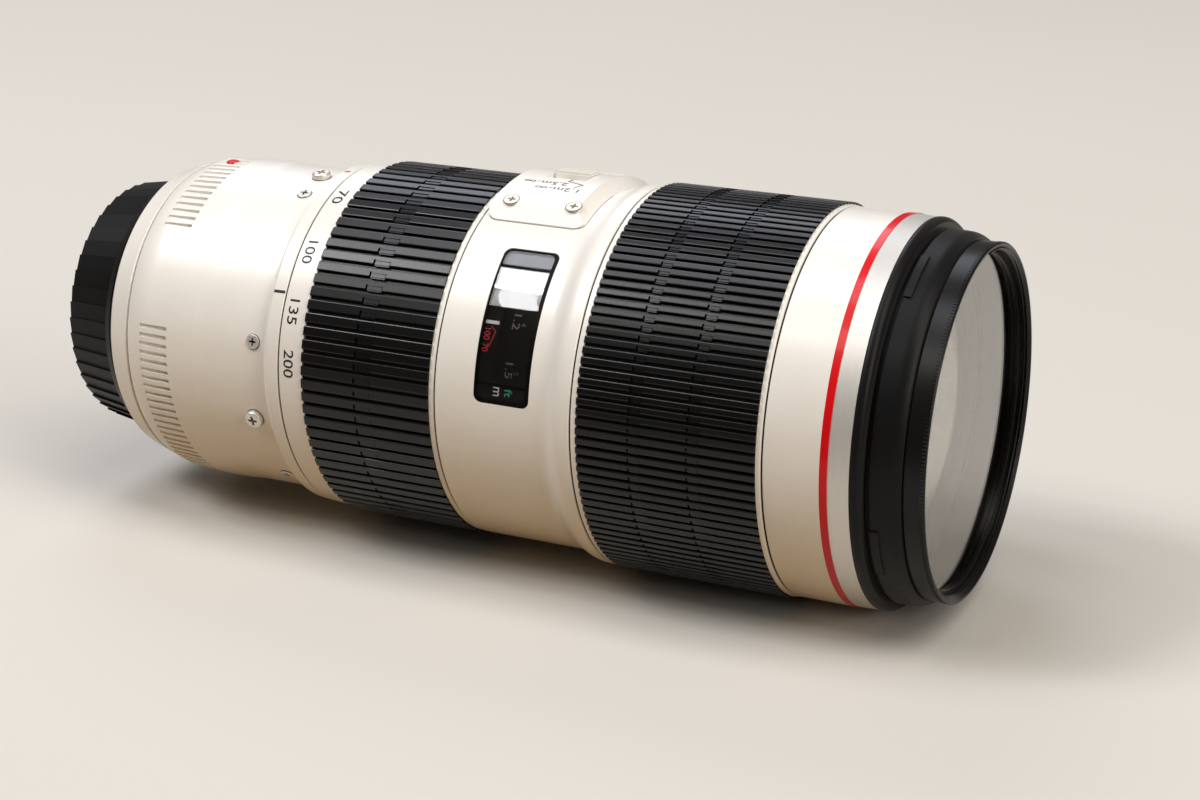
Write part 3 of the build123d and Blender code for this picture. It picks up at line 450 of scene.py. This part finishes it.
def coated_glass():
    """Optical crown glass with an anti-reflection coat, and a trace of dust."""
    made, tree, shader, place = finish(
        "coated_crown_glass", "#F8F6F2", 0.0, Transmission_Weight=1.0, IOR=1.62,
        Specular_Tint=linear("#FFF1E4"))
    dust = node(tree, "ShaderNodeTexNoise", {"Vector": place, "Scale": grains(3), "Detail": 2.0})
    haze = node(tree, "ShaderNodeMapRange", {"Value": dust, "From Min": 0.4, "To Max": 0.02})
    feed(tree, shader, {"Roughness": haze})
    return made


def window_acrylic():
    """Polished clear acrylic of the window, coated so that it mirrors the lamps."""
    made, tree, shader, place = finish(
        "polished_acrylic", "#F0EFF1", 0.03, Transmission_Weight=1.0, IOR=1.5)
    dust = node(tree, "ShaderNodeTexNoise", {"Vector": place, "Scale": grains(2), "Detail": 2.0})
    haze = node(tree, "ShaderNodeMapRange", {"Value": dust, "From Min": 0.4, "To Max": 0.06})
    feed(tree, shader, {"Roughness": haze})
    return made


def scale_black():
    """Satin black paint of the distance drum."""
    made, tree, shader, place = finish("satin_black_paint", "#030303", 0.5, Specular_IOR_Level=0.1)
    grain = node(tree, "ShaderNodeTexNoise", {"Vector": place, "Scale": grains(0.4), "Detail": 2.0})
    sheen = node(tree, "ShaderNodeMapRange", {"Value": grain, "To Min": 0.42, "To Max": 0.58})
    feed(tree, shader, {"Roughness": sheen})
    return made


def ink(name, colour):
    """Pad printing ink: thin, even and slightly dull. It also draws painted shade at the panel's foot and in
    its screws.
    """
    made, tree, shader, place = finish(name, colour, 0.5)
    grain = node(tree, "ShaderNodeTexNoise", {"Vector": place, "Scale": grains(0.3), "Detail": 2.0})
    sheen = node(tree, "ShaderNodeMapRange", {"Value": grain, "To Min": 0.42, "To Max": 0.58})
    feed(tree, shader, {"Roughness": sheen})
    return made


# The solids get the finish of their material slot

SLOT_MATERIALS = {
    "cream_paint": cream_enamel,
    "grip_rubber": grip_rubber,
    "black_plastic": moulded_abs,
    "black_anodised": black_anodised,
    "screw_steel": screw_steel,
    "mount_chrome": satin_chrome,
    "optical_glass": coated_glass,
    "seal_rubber": seal_rubber,
    "gold_contact": gold_plate,
    "red_plastic": red_enamel,
    "red_paint": red_enamel,
    "silver_band": turned_silver,
    "circuit_green": circuit_laminate,
    "window_plastic": window_acrylic,
    "knob_plastic": cream_abs,
    "bare_brass": bare_brass,
}


def put_on(piece, finish_material):
    """Gives a piece one material all over."""
    piece.data.materials.clear()
    piece.data.materials.append(finish_material)


def dress_solids():
    """Dresses every solid. The drum and the panel's screws are painted, so they get a finish of their own."""
    finishes = {}
    for part in frame["record"]["subparts"]:
        slot = part["material_slot"]
        if slot not in finishes:
            finishes[slot] = SLOT_MATERIALS[slot]()
        put_on(frame["nodes"][part["node"]], finishes[slot])
    put_on(frame["nodes"]["distance_drum"], scale_black())
    put_on(frame["nodes"]["panel_screws"], cream_painted_steel())
    return finishes


# Modelling helpers

def start_fresh():
    bpy.ops.object.select_all(action="DESELECT")


def settle(piece, name, finish_material, body):
    """Names a finished piece, gives it its material and lets it ride on a body."""
    piece.name = name
    piece.data.name = name
    put_on(piece, finish_material)
    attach(piece, body)


def apply_modifier(piece, kind, **settings):
    made = piece.modifiers.new(kind.lower(), kind)
    for name, value in settings.items():
        setattr(made, name, value)
    bpy.context.view_layer.objects.active = piece
    bpy.ops.object.modifier_apply(modifier=made.name)


def join_to_first(pieces):
    """Joins pieces to the first of them."""
    start_fresh()
    for piece in pieces:
        piece.select_set(True)
    bpy.context.view_layer.objects.active = pieces[0]
    bpy.ops.object.join()
    return pieces[0]


def add_block(start, end, near, far, floor, top):
    """A block over the top of the barrel: stations, sideways reach towards -Y, and radii."""
    start_fresh()
    middle = Vector(((start + end) / 2, -(near + far) / 2, (floor + top) / 2))
    bpy.ops.mesh.primitive_cube_add(size=1, location=middle * MM)
    block = bpy.context.object
    block.scale = Vector((end - start, abs(far - near), top - floor)) * MM
    bpy.ops.object.transform_apply(location=True, rotation=True, scale=True)
    return block


def copies_round(piece, count, first):
    """Copies of a piece all round the optical axis, joined to one mesh."""
    ring = []
    for index in range(count):
        copy = piece.copy()
        copy.data = piece.data.copy()
        copy.data.transform(Matrix.Rotation(radians(first) + 2 * pi * index / count, 4, "X"))
        bpy.context.collection.objects.link(copy)
        ring.append(copy)
    bpy.data.objects.remove(piece)
    return join_to_first(ring)


def add_sleeve(start, end, radius, thickness, steps):
    """An open tube round the optical axis with a wall inside it."""
    start_fresh()
    bpy.ops.mesh.primitive_cylinder_add(
        vertices=steps, radius=radius * MM, depth=(end - start) * MM, end_fill_type="NOTHING",
        location=((start + end) / 2 * MM, 0, 0), rotation=(0, pi / 2, 0))
    sleeve = bpy.context.object
    bpy.ops.object.transform_apply(location=True, rotation=True, scale=True)
    apply_modifier(sleeve, "SOLIDIFY", thickness=thickness * MM, offset=-1)
    bpy.ops.object.shade_smooth_by_angle(angle=radians(30))
    return sleeve


def close_shell(merging_distance):
    """In edit mode: merges what touches and turns every face outwards."""
    bpy.ops.mesh.select_all(action="SELECT")
    bpy.ops.mesh.remove_doubles(threshold=merging_distance * MM)
    bpy.ops.mesh.normals_make_consistent(inside=False)


# Rubber grips: straight ribs on a sleeve, each rib with one or two small pads on its lower half

ZOOM_RIBS = 87
ZOOM_RIB_ANGLE = 20.4
ZOOM_GROOVE = 0.8
ZOOM_PADS = ((72.1, 75.8),)
FOCUS_RIBS = 126
FOCUS_RIB_ANGLE = 41.5
FOCUS_GROOVE = 0.7
FOCUS_PADS = ((140.4, 142.6), (153.9, 156.2))

# Ribs: their roots sink into the sleeve, and their tops stay just under the solid's surface
GROOVE_DEPTH = 0.95
RIB_ROOT = 0.2
RIB_SHOULDER = 0.24
RIB_BELOW_TOP = 0.005
SLEEVE_INSET = 0.02
SLEEVE_WALL = 0.8

# Cut into each rib: a slit behind the pad, the sunk half where it stands, and a step before it
SLIT_LENGTH = 0.42
SLIT_DEPTH = 0.55
CUT_EDGE = 0.12
CUT_OVERLAP = 0.01
SUNK_DEPTH = 0.14
STEP_LENGTH = 0.2
STEP_DEPTH = 0.24

# The pad reaches from inside the rib out over the groove
PAD_ROOT_SHARE = 0.3
PAD_OVERHANG = 0.22
PAD_GAP = 0.05
PAD_FLOOR = 0.9
PAD_TOP = 0.3


def make_rib(start, end, floor, top, width, pads):
    """One rib with rounded shoulders. A pad is (rear, front): slightly sunk, with a slit behind it."""
    rib = add_block(start, end, -width / 2, width / 2, floor, top)
    bpy.ops.object.mode_set(mode="EDIT")
    bpy.ops.mesh.select_all(action="DESELECT")
    mesh = bmesh.from_edit_mesh(rib.data)
    for edge in mesh.edges:
        along = abs(edge.verts[0].co.x - edge.verts[1].co.x) > width * MM
        edge.select = along and edge.verts[0].co.z > (floor + top) / 2 * MM
    bmesh.update_edit_mesh(rib.data)
    bpy.ops.mesh.bevel(offset=RIB_SHOULDER * MM, segments=2)
    bpy.ops.object.mode_set(mode="OBJECT")
    for rear, front in pads:
        cuts = (
            (rear - SLIT_LENGTH, rear, -CUT_EDGE, top - SLIT_DEPTH),
            (rear - CUT_OVERLAP, front, CUT_EDGE, top - SUNK_DEPTH),
            (front, front + STEP_LENGTH, 0.0, top - STEP_DEPTH),
        )
        for cut_start, cut_end, near, cut_floor in cuts:
            cutter = add_block(cut_start, cut_end, near, width, cut_floor, top + 1)
            apply_modifier(rib, "BOOLEAN", object=cutter, operation="DIFFERENCE", solver="EXACT")
            bpy.data.objects.remove(cutter)
    root, reach = width * PAD_ROOT_SHARE, width / 2 + PAD_OVERHANG
    pad_blocks = [
        add_block(rear, front - PAD_GAP, root, reach, top - PAD_FLOOR, top - PAD_TOP)
        for rear, front in pads
    ]
    return join_to_first([rib, *pad_blocks])


def make_grip(name, replaced, body, count, first, groove, pads):
    """A rubber grip in place of a plain solid: a sleeve with ribs standing on it."""
    start, end = low(replaced), high(replaced)
    top = widest(replaced)
    floor = top - GROOVE_DEPTH
    width = 2 * pi * top / count - groove
    rib = make_rib(start, end, floor - RIB_ROOT, top - RIB_BELOW_TOP, width, pads)
    ribs = copies_round(rib, count, first + 180 / count)
    sleeve = add_sleeve(start + SLEEVE_INSET, end - SLEEVE_INSET, floor, SLEEVE_WALL, 2 * count)
    join_to_first([ribs, sleeve])
    settle(ribs, name, finishes["grip_rubber"], body)
    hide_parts(replaced)


# Black rings in the gaps between the rings: painted shade in the gaps

GAP_SHADE_PLAY = 0.04
GAP_SHADE_DEPTH = 1.0
GAP_SHADE_ROUNDING = 0.08


def make_gap_shade_ring(name, rear_edge, front_edge, radius):
    """A thin black ring deep in the gap between two rings: painted shade in the gap."""
    start_fresh()
    middle = (rear_edge + front_edge) / 2
    width = front_edge - rear_edge - GAP_SHADE_PLAY
    bpy.ops.mesh.primitive_plane_add(
        size=1, location=(middle * MM, 0, radius * MM), rotation=(pi / 2, 0, 0))
    gap_shade_ring = bpy.context.object
    gap_shade_ring.scale = (width * MM, GAP_SHADE_DEPTH * MM, 1)
    bpy.ops.object.transform_apply(location=True, rotation=True, scale=True)
    bpy.ops.object.mode_set(mode="EDIT")
    bpy.ops.mesh.select_all(action="SELECT")
    bpy.ops.mesh.delete(type="ONLY_FACE")
    bpy.ops.mesh.select_all(action="SELECT")
    bpy.ops.mesh.spin(steps=180, angle=2 * pi, center=(0, 0, 0), axis=(1, 0, 0))
    close_shell(merging_distance=0.005)
    bpy.ops.object.mode_set(mode="OBJECT")
    apply_modifier(gap_shade_ring, "BEVEL", width=GAP_SHADE_ROUNDING * MM, segments=2)
    bpy.ops.object.shade_smooth_by_angle(angle=radians(40))
    # Painted shade: the black rubber ring makes the gap as dark as its shade
    settle(gap_shade_ring, name, finishes["seal_rubber"], "barrel")


def make_gap_shade_rings():
    make_gap_shade_ring("zoom_rear_gap_shade", REAR_BARREL_RIM, low("zoom_ring"), radius=40.6)
    make_gap_shade_ring("zoom_front_gap_shade", high("zoom_ring"), low("mid_barrel"), radius=41.1)
    make_gap_shade_ring("focus_rear_gap_shade", MIDDLE_BARREL_LIP, low("focus_ring"), radius=43.2)
    make_gap_shade_ring("focus_front_gap_shade", high("focus_ring"), low("front_barrel"), radius=42.8)


# Printing on the barrel: flat ink, cut in narrow strips so that it bends round

INK_THICKNESS = 0.05
STRIP_WIDTH = 0.8
LINE_STRIP_WIDTH = 0.5
LETTER_SWELLING = 0.004


def wrap_on(piece, station, angle, radius_at):
    """Lays a flat piece on the barrel: its x runs round the axis, its y towards the front.

    radius_at gives the radius to lay it on at a station.
    """
    piece.data.transform(piece.matrix_world)
    piece.matrix_world = Matrix.Identity(4)
    for vertex in piece.data.vertices:
        here = station + vertex.co.y / MM
        radius = radius_at(here)
        turn = angle + degrees(vertex.co.x / MM / radius)
        vertex.co = on_barrel(here, turn, radius + vertex.co.z / MM)


def cut_in_strips(piece, spacing):
    """Cuts a flat piece across at even distances, so that it can bend."""
    bpy.ops.object.mode_set(mode="EDIT")
    xs = [vertex.co.x for vertex in piece.data.vertices]
    cut = min(xs) + spacing
    while cut < max(xs):
        bpy.ops.mesh.select_all(action="SELECT")
        bpy.ops.mesh.bisect(plane_co=(cut, 0, 0), plane_no=(1, 0, 0))
        cut += spacing
    bpy.ops.object.mode_set(mode="OBJECT")


def print_words(name, words, station, angle, height, width, radius_at, finish_material, body, slot, turn=0):
    """Printed figures, centred on a place. Without a turn their tops point to the front."""
    start_fresh()
    bpy.ops.object.text_add()
    text = bpy.context.object
    text.data.body = words
    # The letters come out one unit thick, and are scaled down to the ink's thickness
    text.data.extrude = 0.5
    text.data.resolution_u = 4
    text.data.offset = LETTER_SWELLING
    bpy.ops.object.convert(target="MESH")
    text = bpy.context.object
    xs = [vertex.co.x for vertex in text.data.vertices]
    ys = [vertex.co.y for vertex in text.data.vertices]
    centre = Vector(((max(xs) + min(xs)) / 2, (max(ys) + min(ys)) / 2, 0))
    across = width / (max(xs) - min(xs)) * MM
    upward = height / (max(ys) - min(ys)) * MM
    size = Matrix.Diagonal((across, upward, INK_THICKNESS * MM, 1))
    text.data.transform(size @ Matrix.Translation(-centre))
    text.data.transform(Matrix.Rotation(radians(turn), 4, "Z"))
    cut_in_strips(text, STRIP_WIDTH * MM)
    wrap_on(text, station, angle, radius_at)
    settle(text, name, finish_material, body)


def print_bar(name, station, angle, length, breadth, radius_at, finish_material, body, slot):
    """A printed bar: its length lies along the optical axis, its breadth round it."""
    start_fresh()
    bpy.ops.mesh.primitive_cube_add(size=1)
    bar = bpy.context.object
    bar.data.transform(Matrix.Diagonal((breadth * MM, length * MM, INK_THICKNESS * MM, 1)))
    cut_in_strips(bar, STRIP_WIDTH * MM)
    bpy.ops.object.mode_set(mode="EDIT")
    for quarter in (-0.25, 0, 0.25):
        bpy.ops.mesh.select_all(action="SELECT")
        bpy.ops.mesh.bisect(plane_co=(0, quarter * length * MM, 0), plane_no=(0, 1, 0))
    bpy.ops.object.mode_set(mode="OBJECT")
    wrap_on(bar, station, angle, radius_at)
    settle(bar, name, finish_material, body)


def print_line(name, start, end, breadth, radius_at, finish_material, body):
    """A printed line from one (station, angle) to another."""
    across = radians(end[1] - start[1]) * radius_at(start[0])
    along = end[0] - start[0]
    start_fresh()
    bpy.ops.mesh.primitive_cube_add(size=1)
    line = bpy.context.object
    length = (across ** 2 + along ** 2) ** 0.5 + breadth
    line.data.transform(Matrix.Diagonal((length * MM, breadth * MM, INK_THICKNESS * MM, 1)))
    line.data.transform(Matrix.Rotation(atan2(along, across), 4, "Z"))
    cut_in_strips(line, LINE_STRIP_WIDTH * MM)
    wrap_on(line, (start[0] + end[0]) / 2, (start[1] + end[1]) / 2, radius_at)
    settle(line, name, finish_material, body)


def print_bent_line(name, bends, breadth, radius_at, finish_material, body, slot):
    """A printed line through several (station, angle) bends, one piece for each stretch."""
    for index, (start, end) in enumerate(zip(bends, bends[1:])):
        print_line(f"{name}_{index + 1}", start, end, breadth, radius_at, finish_material, body)


# Focal lengths on the zoom ring, the line they are read at and the red mark at the collar's seat

FIGURE_STATION = 54.32
FIGURE_HEIGHT = 2.65

# The zoom ring widens a little from its rear edge to its grip
SKIRT_START = 51.8
SKIRT_LENGTH = 6.3
SKIRT_RADIUS = 41.5
SKIRT_FLARE = 0.45

# The rear barrel widens a little in front of the collar's seat, as far as its rim
RIM_START = 48.0
RIM_LENGTH = 3.0
RIM_RADIUS = 41.2
RIM_FLARE = 0.25


def zoom_skirt(station):
    """Radius of the zoom ring behind its grip."""
    return SKIRT_RADIUS + SKIRT_FLARE * (station - SKIRT_START) / SKIRT_LENGTH


def rear_barrel_rim(station):
    """Radius of the rear barrel in front of the collar's seat."""
    return RIM_RADIUS + RIM_FLARE * (station - RIM_START) / RIM_LENGTH


def make_zoom_figures():
    black = ink("black_pad_ink", "#151413")
    figures = (("70", 23.8, 5.0), ("100", 47.2, 5.8), ("135", 67.0, 5.7), ("200", 83.4, 6.4))
    for words, angle, width in figures:
        print_words(
            f"focal_figure_{words}", words, FIGURE_STATION, angle, FIGURE_HEIGHT, width, zoom_skirt,
            black, "zoom", "cream_paint")
    print_bar(
        "index_line", station=49.55, angle=INDEX_ANGLE, length=3.1, breadth=0.66,
        radius_at=rear_barrel_rim, finish_material=black, body="barrel", slot="cream_paint")
    red = ink("red_pad_ink", "#C8202A")
    print_bar(
        "collar_mark", station=49.3, angle=7.0, length=1.6, breadth=0.8,
        radius_at=rear_barrel_rim, finish_material=red, body="barrel", slot="red_paint")


# Window: black sheets round its edge, the fixed marks and the scale on the drum

WINDOW_HALF_ANGLE = 24.4
WINDOW_CORNER = 1.7
WINDOW_INSET = 0.05
MASK_RADIUS = 40.76
MARK_RADIUS = 40.83
GASKET_RADIUS = 41.79
SHEET_STRIP_WIDTH = 1.0
FINE_LINE = 0.16

SIGN_ANGLE = 82.0
METRES_STATION = 109.1
FEET_STATION = 110.9
FEET_LEAD = 0.6
FEET_PER_METRE = 3.281


def under_pane(station):
    """The mask on the inside of the window, just under the pane."""
    return MASK_RADIUS


def on_mask(station):
    """The fixed marks on the mask."""
    return MARK_RADIUS


def on_pane(station):
    """The gasket that lies on the rim of the pane."""
    return GASKET_RADIUS


def on_drum(station):
    """The print on the turning distance drum."""
    return widest("distance_drum")


def add_rounded_plate(across, along, thickness):
    """A flat plate with rounded corners, centred on the origin."""
    start_fresh()
    bpy.ops.mesh.primitive_plane_add(size=1)
    plate = bpy.context.object
    plate.data.transform(Matrix.Diagonal((across * MM, along * MM, 1, 1)))
    bpy.ops.object.mode_set(mode="EDIT")
    bpy.ops.mesh.select_all(action="SELECT")
    bpy.ops.mesh.bevel(offset=WINDOW_CORNER * MM, segments=5, affect="VERTICES")
    bpy.ops.object.mode_set(mode="OBJECT")
    apply_modifier(plate, "SOLIDIFY", thickness=thickness * MM, offset=0)
    return plate


def make_window_sheet(name, radius_at, thickness, rear_rim, front_rim, upper_rim, lower_rim):
    """A black sheet as large as the window, cut out inside its four rims."""
    start, end = low("window_pane") + WINDOW_INSET, high("window_pane") - WINDOW_INSET
    across = 2 * radians(WINDOW_HALF_ANGLE) * radius_at(start)
    sheet = add_rounded_plate(across, end - start, thickness)
    opening = add_rounded_plate(
        across - upper_rim - lower_rim, end - start - rear_rim - front_rim, 4 * thickness)
    place = Vector(((upper_rim - lower_rim) / 2, (rear_rim - front_rim) / 2, 0))
    opening.data.transform(Matrix.Translation(place * MM))
    apply_modifier(sheet, "BOOLEAN", object=opening, operation="DIFFERENCE", solver="EXACT")
    bpy.data.objects.remove(opening)
    start_fresh()
    sheet.select_set(True)
    bpy.context.view_layer.objects.active = sheet
    cut_in_strips(sheet, SHEET_STRIP_WIDTH * MM)
    wrap_on(sheet, (start + end) / 2, INDEX_ANGLE, radius_at)
    settle(sheet, name, scale_black(), "barrel")


def make_window_sheets():
    make_window_sheet(
        "window_mask", under_pane, thickness=0.08, rear_rim=4.2, front_rim=1.1, upper_rim=0.9,
        lower_rim=4.7)
    make_window_sheet(
        "window_gasket", on_pane, thickness=0.12, rear_rim=0.35, front_rim=1.0, upper_rim=0.3,
        lower_rim=0.5)


def make_window_marks():
    """The line that distances are read at, the depth lines beside it and the signs of both units."""
    white = ink("white_pad_ink", "#FFFFFF")
    red = ink("red_scale_ink", "#F0303C")
    green = ink("green_scale_ink", "#3FC597")
    fixed = {"radius_at": on_mask, "body": "barrel", "slot": "window_plastic"}
    print_bar(
        "distance_index", station=104.1, angle=INDEX_ANGLE, length=3.3, breadth=0.75,
        finish_material=white, **fixed)
    print_words(
        "depth_figures", "100 70", station=103.35, angle=66.8, height=1.5, width=5.1,
        finish_material=red, **fixed)
    bends = ((104.1, 62.6), (105.3, 63.9), (104.3, 68.6))
    print_bent_line("depth_line", bends, breadth=FINE_LINE, finish_material=red, **fixed)
    print_words(
        "metre_sign", "m", station=107.15, angle=SIGN_ANGLE, height=1.5, width=2.0,
        finish_material=white, **fixed)
    print_words(
        "feet_sign", "ft", station=110.1, angle=SIGN_ANGLE, height=1.9, width=1.8,
        finish_material=green, **fixed)


def make_distance_scale():
    """Metres and feet on the drum. It lies deeper, in the shade of the barrel, so their white and green inks
    are painted darker: painted shade.
    """
    # Painted shade: the drum's white and green inks are darkened for the shade it lies in
    white_in_painted_shade = ink("white_drum_ink_painted_shade", "#7A7874")
    green_in_painted_shade = ink("green_drum_ink_painted_shade", "#1F6B52")
    scale = (
        ("1.2", 59.8, 3.4), ("1.5", 75.3, 3.4), ("2", 89.0, 1.3), ("3", 101.0, 1.3), ("5", 111.0, 1.3),
        ("10", 120.0, 2.6),
    )
    turning = {"radius_at": on_drum, "body": "focus_drive", "slot": "cream_paint"}
    for metres, angle, width in scale:
        print_words(
            "metres_" + metres.replace(".", "_"), metres, METRES_STATION, angle, height=1.8,
            width=width, finish_material=white_in_painted_shade, **turning)
        feet = f"{float(metres) * FEET_PER_METRE:.0f}"
        print_words(
            "feet_" + feet, feet, FEET_STATION, angle + FEET_LEAD, height=1.2,
            width=0.8 * len(feet), finish_material=green_in_painted_shade, **turning)


# Lettering on the switch panel: it reads towards the mount, with its tops towards the window

LABEL_HEIGHT = 1.7
RANGE_LINE_BREADTH = 0.3


def on_panel(station):
    """The top of the panel."""
    return PANEL_RADIUS


def at_panel_foot(station):
    """The barrel beside the foot of the panel."""
    return PANEL_FOOT_RADIUS


def make_panel_labels():
    black = ink("panel_label_ink", "#171615")
    printed = {"radius_at": on_panel, "finish_material": black, "body": "barrel", "slot": "cream_paint"}
    labels = (
        ("near_range", "1.2m-\u221e", 106.2, 11.5, 10.8), ("far_range", "2.5m-\u221e", 102.2, 7.9, 10.8),
        ("autofocus_on", "AF", 113.4, -21.8, 2.6), ("autofocus_off", "MF", 113.4, -26.0, 2.8),
        ("stabiliser_on", "ON", 113.4, -43.8, 2.8), ("stabiliser_off", "OFF", 113.4, -48.0, 3.6),
        ("first_mode", "1", 113.0, -65.8, 0.6), ("second_mode", "2", 113.0, -70.0, 1.2),
    )
    for name, words, station, angle, width in labels:
        print_words(name, words, station, angle, LABEL_HEIGHT, width, turn=-90, **printed)
    bends = ((107.4, 3.7), (106.9, 5.3), (111.1, 7.1), (109.9, 9.5))
    print_bent_line("range_line", bends, RANGE_LINE_BREADTH, **printed)


def make_panel_foot_shade():
    """A line of painted shade where the foot of the panel stands on the barrel."""
    # Painted shade: a brown line in the crease at the panel's foot, drawn with the ink helper
    shade = ink("brown_painted_foot_shade", "#6E6456")
    bends = (
        (93.6, 22.8), (93.8, 24.4), (94.5, 25.7), (96.0, 26.3), (114.8, 26.3), (116.3, 25.7), (117.1, 24.4),
        (117.4, 22.8), (117.4, 14.0), (117.4, 4.0),
    )
    print_bent_line("panel_foot_painted_shade", bends, FINE_LINE, at_panel_foot, shade, "barrel", "cream_paint")


# Front edge of the filter: fine teeth outside, the thread inside

# Teeth: their ends are measured back from the front edge
TEETH = 310
TOOTH_REAR = 1.1
TOOTH_FRONT = 0.25
TOOTH_HALF_WIDTH = 0.19
TOOTH_HALF_HEIGHT = 0.1
TOOTH_ROUNDING = 0.07

# Thread: it starts this far behind the front edge, and its crest stands in from the bore
THREAD_PITCH = 0.75
THREAD_TURNS = 2
THREAD_BEHIND_EDGE = 2.35
THREAD_BORE = 38.12
THREAD_CREST = 37.75
THREAD_FOOT_SHARE = 0.98


def make_filter_teeth():
    front = high("filter_ring")
    outer = widest("filter_ring")
    tooth = add_block(
        front - TOOTH_REAR, front - TOOTH_FRONT, -TOOTH_HALF_WIDTH, TOOTH_HALF_WIDTH,
        outer - TOOTH_HALF_HEIGHT, outer + TOOTH_HALF_HEIGHT)
    apply_modifier(tooth, "BEVEL", width=TOOTH_ROUNDING * MM, segments=1)
    teeth = copies_round(tooth, TEETH, 0)
    settle(teeth, "filter_teeth", finishes["black_anodised"], "filter")


def make_filter_thread():
    """The helical ridge of the thread in the bore: its profile is screwed round."""
    start = high("filter_ring") - THREAD_BEHIND_EDGE
    corners = (
        (start, THREAD_BORE), (start + THREAD_PITCH / 2, THREAD_CREST),
        (start + THREAD_PITCH * THREAD_FOOT_SHARE, THREAD_BORE),
    )
    start_fresh()
    bpy.ops.mesh.primitive_circle_add(vertices=3, radius=1, fill_type="NGON")
    ridge = bpy.context.object
    for vertex, (station, radius) in zip(ridge.data.vertices, corners):
        vertex.co = Vector((station, 0, radius)) * MM
    apply_modifier(
        ridge, "SCREW", axis="X", angle=2 * pi, screw_offset=THREAD_PITCH * MM,
        iterations=THREAD_TURNS, steps=150, render_steps=150)
    bpy.ops.object.mode_set(mode="EDIT")
    close_shell(merging_distance=0.002)
    bpy.ops.object.mode_set(mode="OBJECT")
    settle(ridge, "filter_thread_ridge", finishes["black_anodised"], "filter")


# Painted shade in the crosses of the screws and round their heads. A screw is its station and its angle.

LOW_SCREWS = ((42.5, 19.9), (43.0, 78.7), (43.0, 137.2), (43.0, -38.6))
TALL_SCREWS = ((42.0, 106.7), (41.9, 7.0))
PANEL_SCREWS = ((98.2, 20.0), (113.6, 20.0), (98.2, -78.5), (113.6, -78.5))

CROSS_HALF_WIDTH = 0.22
CROSS_THICKNESS = 0.06
RIM_CLEARANCE = 0.13
RIM_HEIGHT = 0.12
RIM_SINK = 0.03
RIM_WALL = 0.16


def make_screw_cross(name, station, angle, radius, length, painted_shade):
    """Two crossed bars of painted shade on the floor of a screw's recess."""
    half, breadth = length / 2, CROSS_HALF_WIDTH
    floor = radius - CROSS_THICKNESS
    bar = add_block(station - half, station + half, -breadth, breadth, floor, radius)
    other = add_block(station - breadth, station + breadth, -half, half, floor, radius)
    join_to_first([bar, other])
    bar.data.transform(Matrix.Rotation(radians(angle), 4, "X"))
    settle(bar, name, painted_shade, "barrel")


def make_screw_rim(name, station, angle, radius, head_radius, painted_shade):
    """A thin line of painted shade round a screw head, where it sinks into the enamel."""
    start_fresh()
    bpy.ops.mesh.primitive_cylinder_add(
        vertices=40, radius=(head_radius + RIM_CLEARANCE) * MM, depth=RIM_HEIGHT * MM,
        end_fill_type="NOTHING", location=(station * MM, 0, (radius - RIM_SINK) * MM))
    rim = bpy.context.object
    bpy.ops.object.transform_apply(location=True, rotation=True, scale=True)
    apply_modifier(rim, "SOLIDIFY", thickness=RIM_WALL * MM, offset=-1)
    rim.data.transform(Matrix.Rotation(radians(angle), 4, "X"))
    settle(rim, name, painted_shade, "barrel")


def make_screw_shades():
    # Painted shade: the drum's satin black paint on the barrel, and a brown ink on the panel
    painted_shade = scale_black()
    panel_painted_shade = ink("brown_screw_painted_shade", "#5C5348")
    kinds = (
        ("low", LOW_SCREWS, SEAT_RADIUS, 0.12, 1.7, 2.0, painted_shade),
        ("tall", TALL_SCREWS, SEAT_RADIUS, 0.85, 2.2, 2.6, painted_shade),
        ("panel", PANEL_SCREWS, PANEL_RADIUS, -0.18, 1.8, 2.1, panel_painted_shade),
    )
    # A cross height is measured from the surface round the screw, so a sunk one is below nought
    for kind, places, surface, cross_height, head_radius, cross_length, shade in kinds:
        for index, (station, angle) in enumerate(places):
            name = f"{kind}_screw_{index + 1}"
            make_screw_cross(name + "_cross", station, angle, surface + cross_height, cross_length, shade)
            make_screw_rim(name + "_rim", station, angle, surface, head_radius, shade)


make_camera()
make_studio()
finishes = dress_solids()
make_grip(
    "zoom_grip_rubber", "zoom_grip", "zoom", ZOOM_RIBS, ZOOM_RIB_ANGLE, ZOOM_GROOVE, ZOOM_PADS)
make_grip(
    "focus_grip_rubber", "focus_grip", "focus", FOCUS_RIBS, FOCUS_RIB_ANGLE, FOCUS_GROOVE, FOCUS_PADS)
make_gap_shade_rings()
make_zoom_figures()
make_window_sheets()
make_window_marks()
make_distance_scale()
make_panel_labels()
make_panel_foot_shade()
make_filter_teeth()
make_filter_thread()
make_screw_shades()
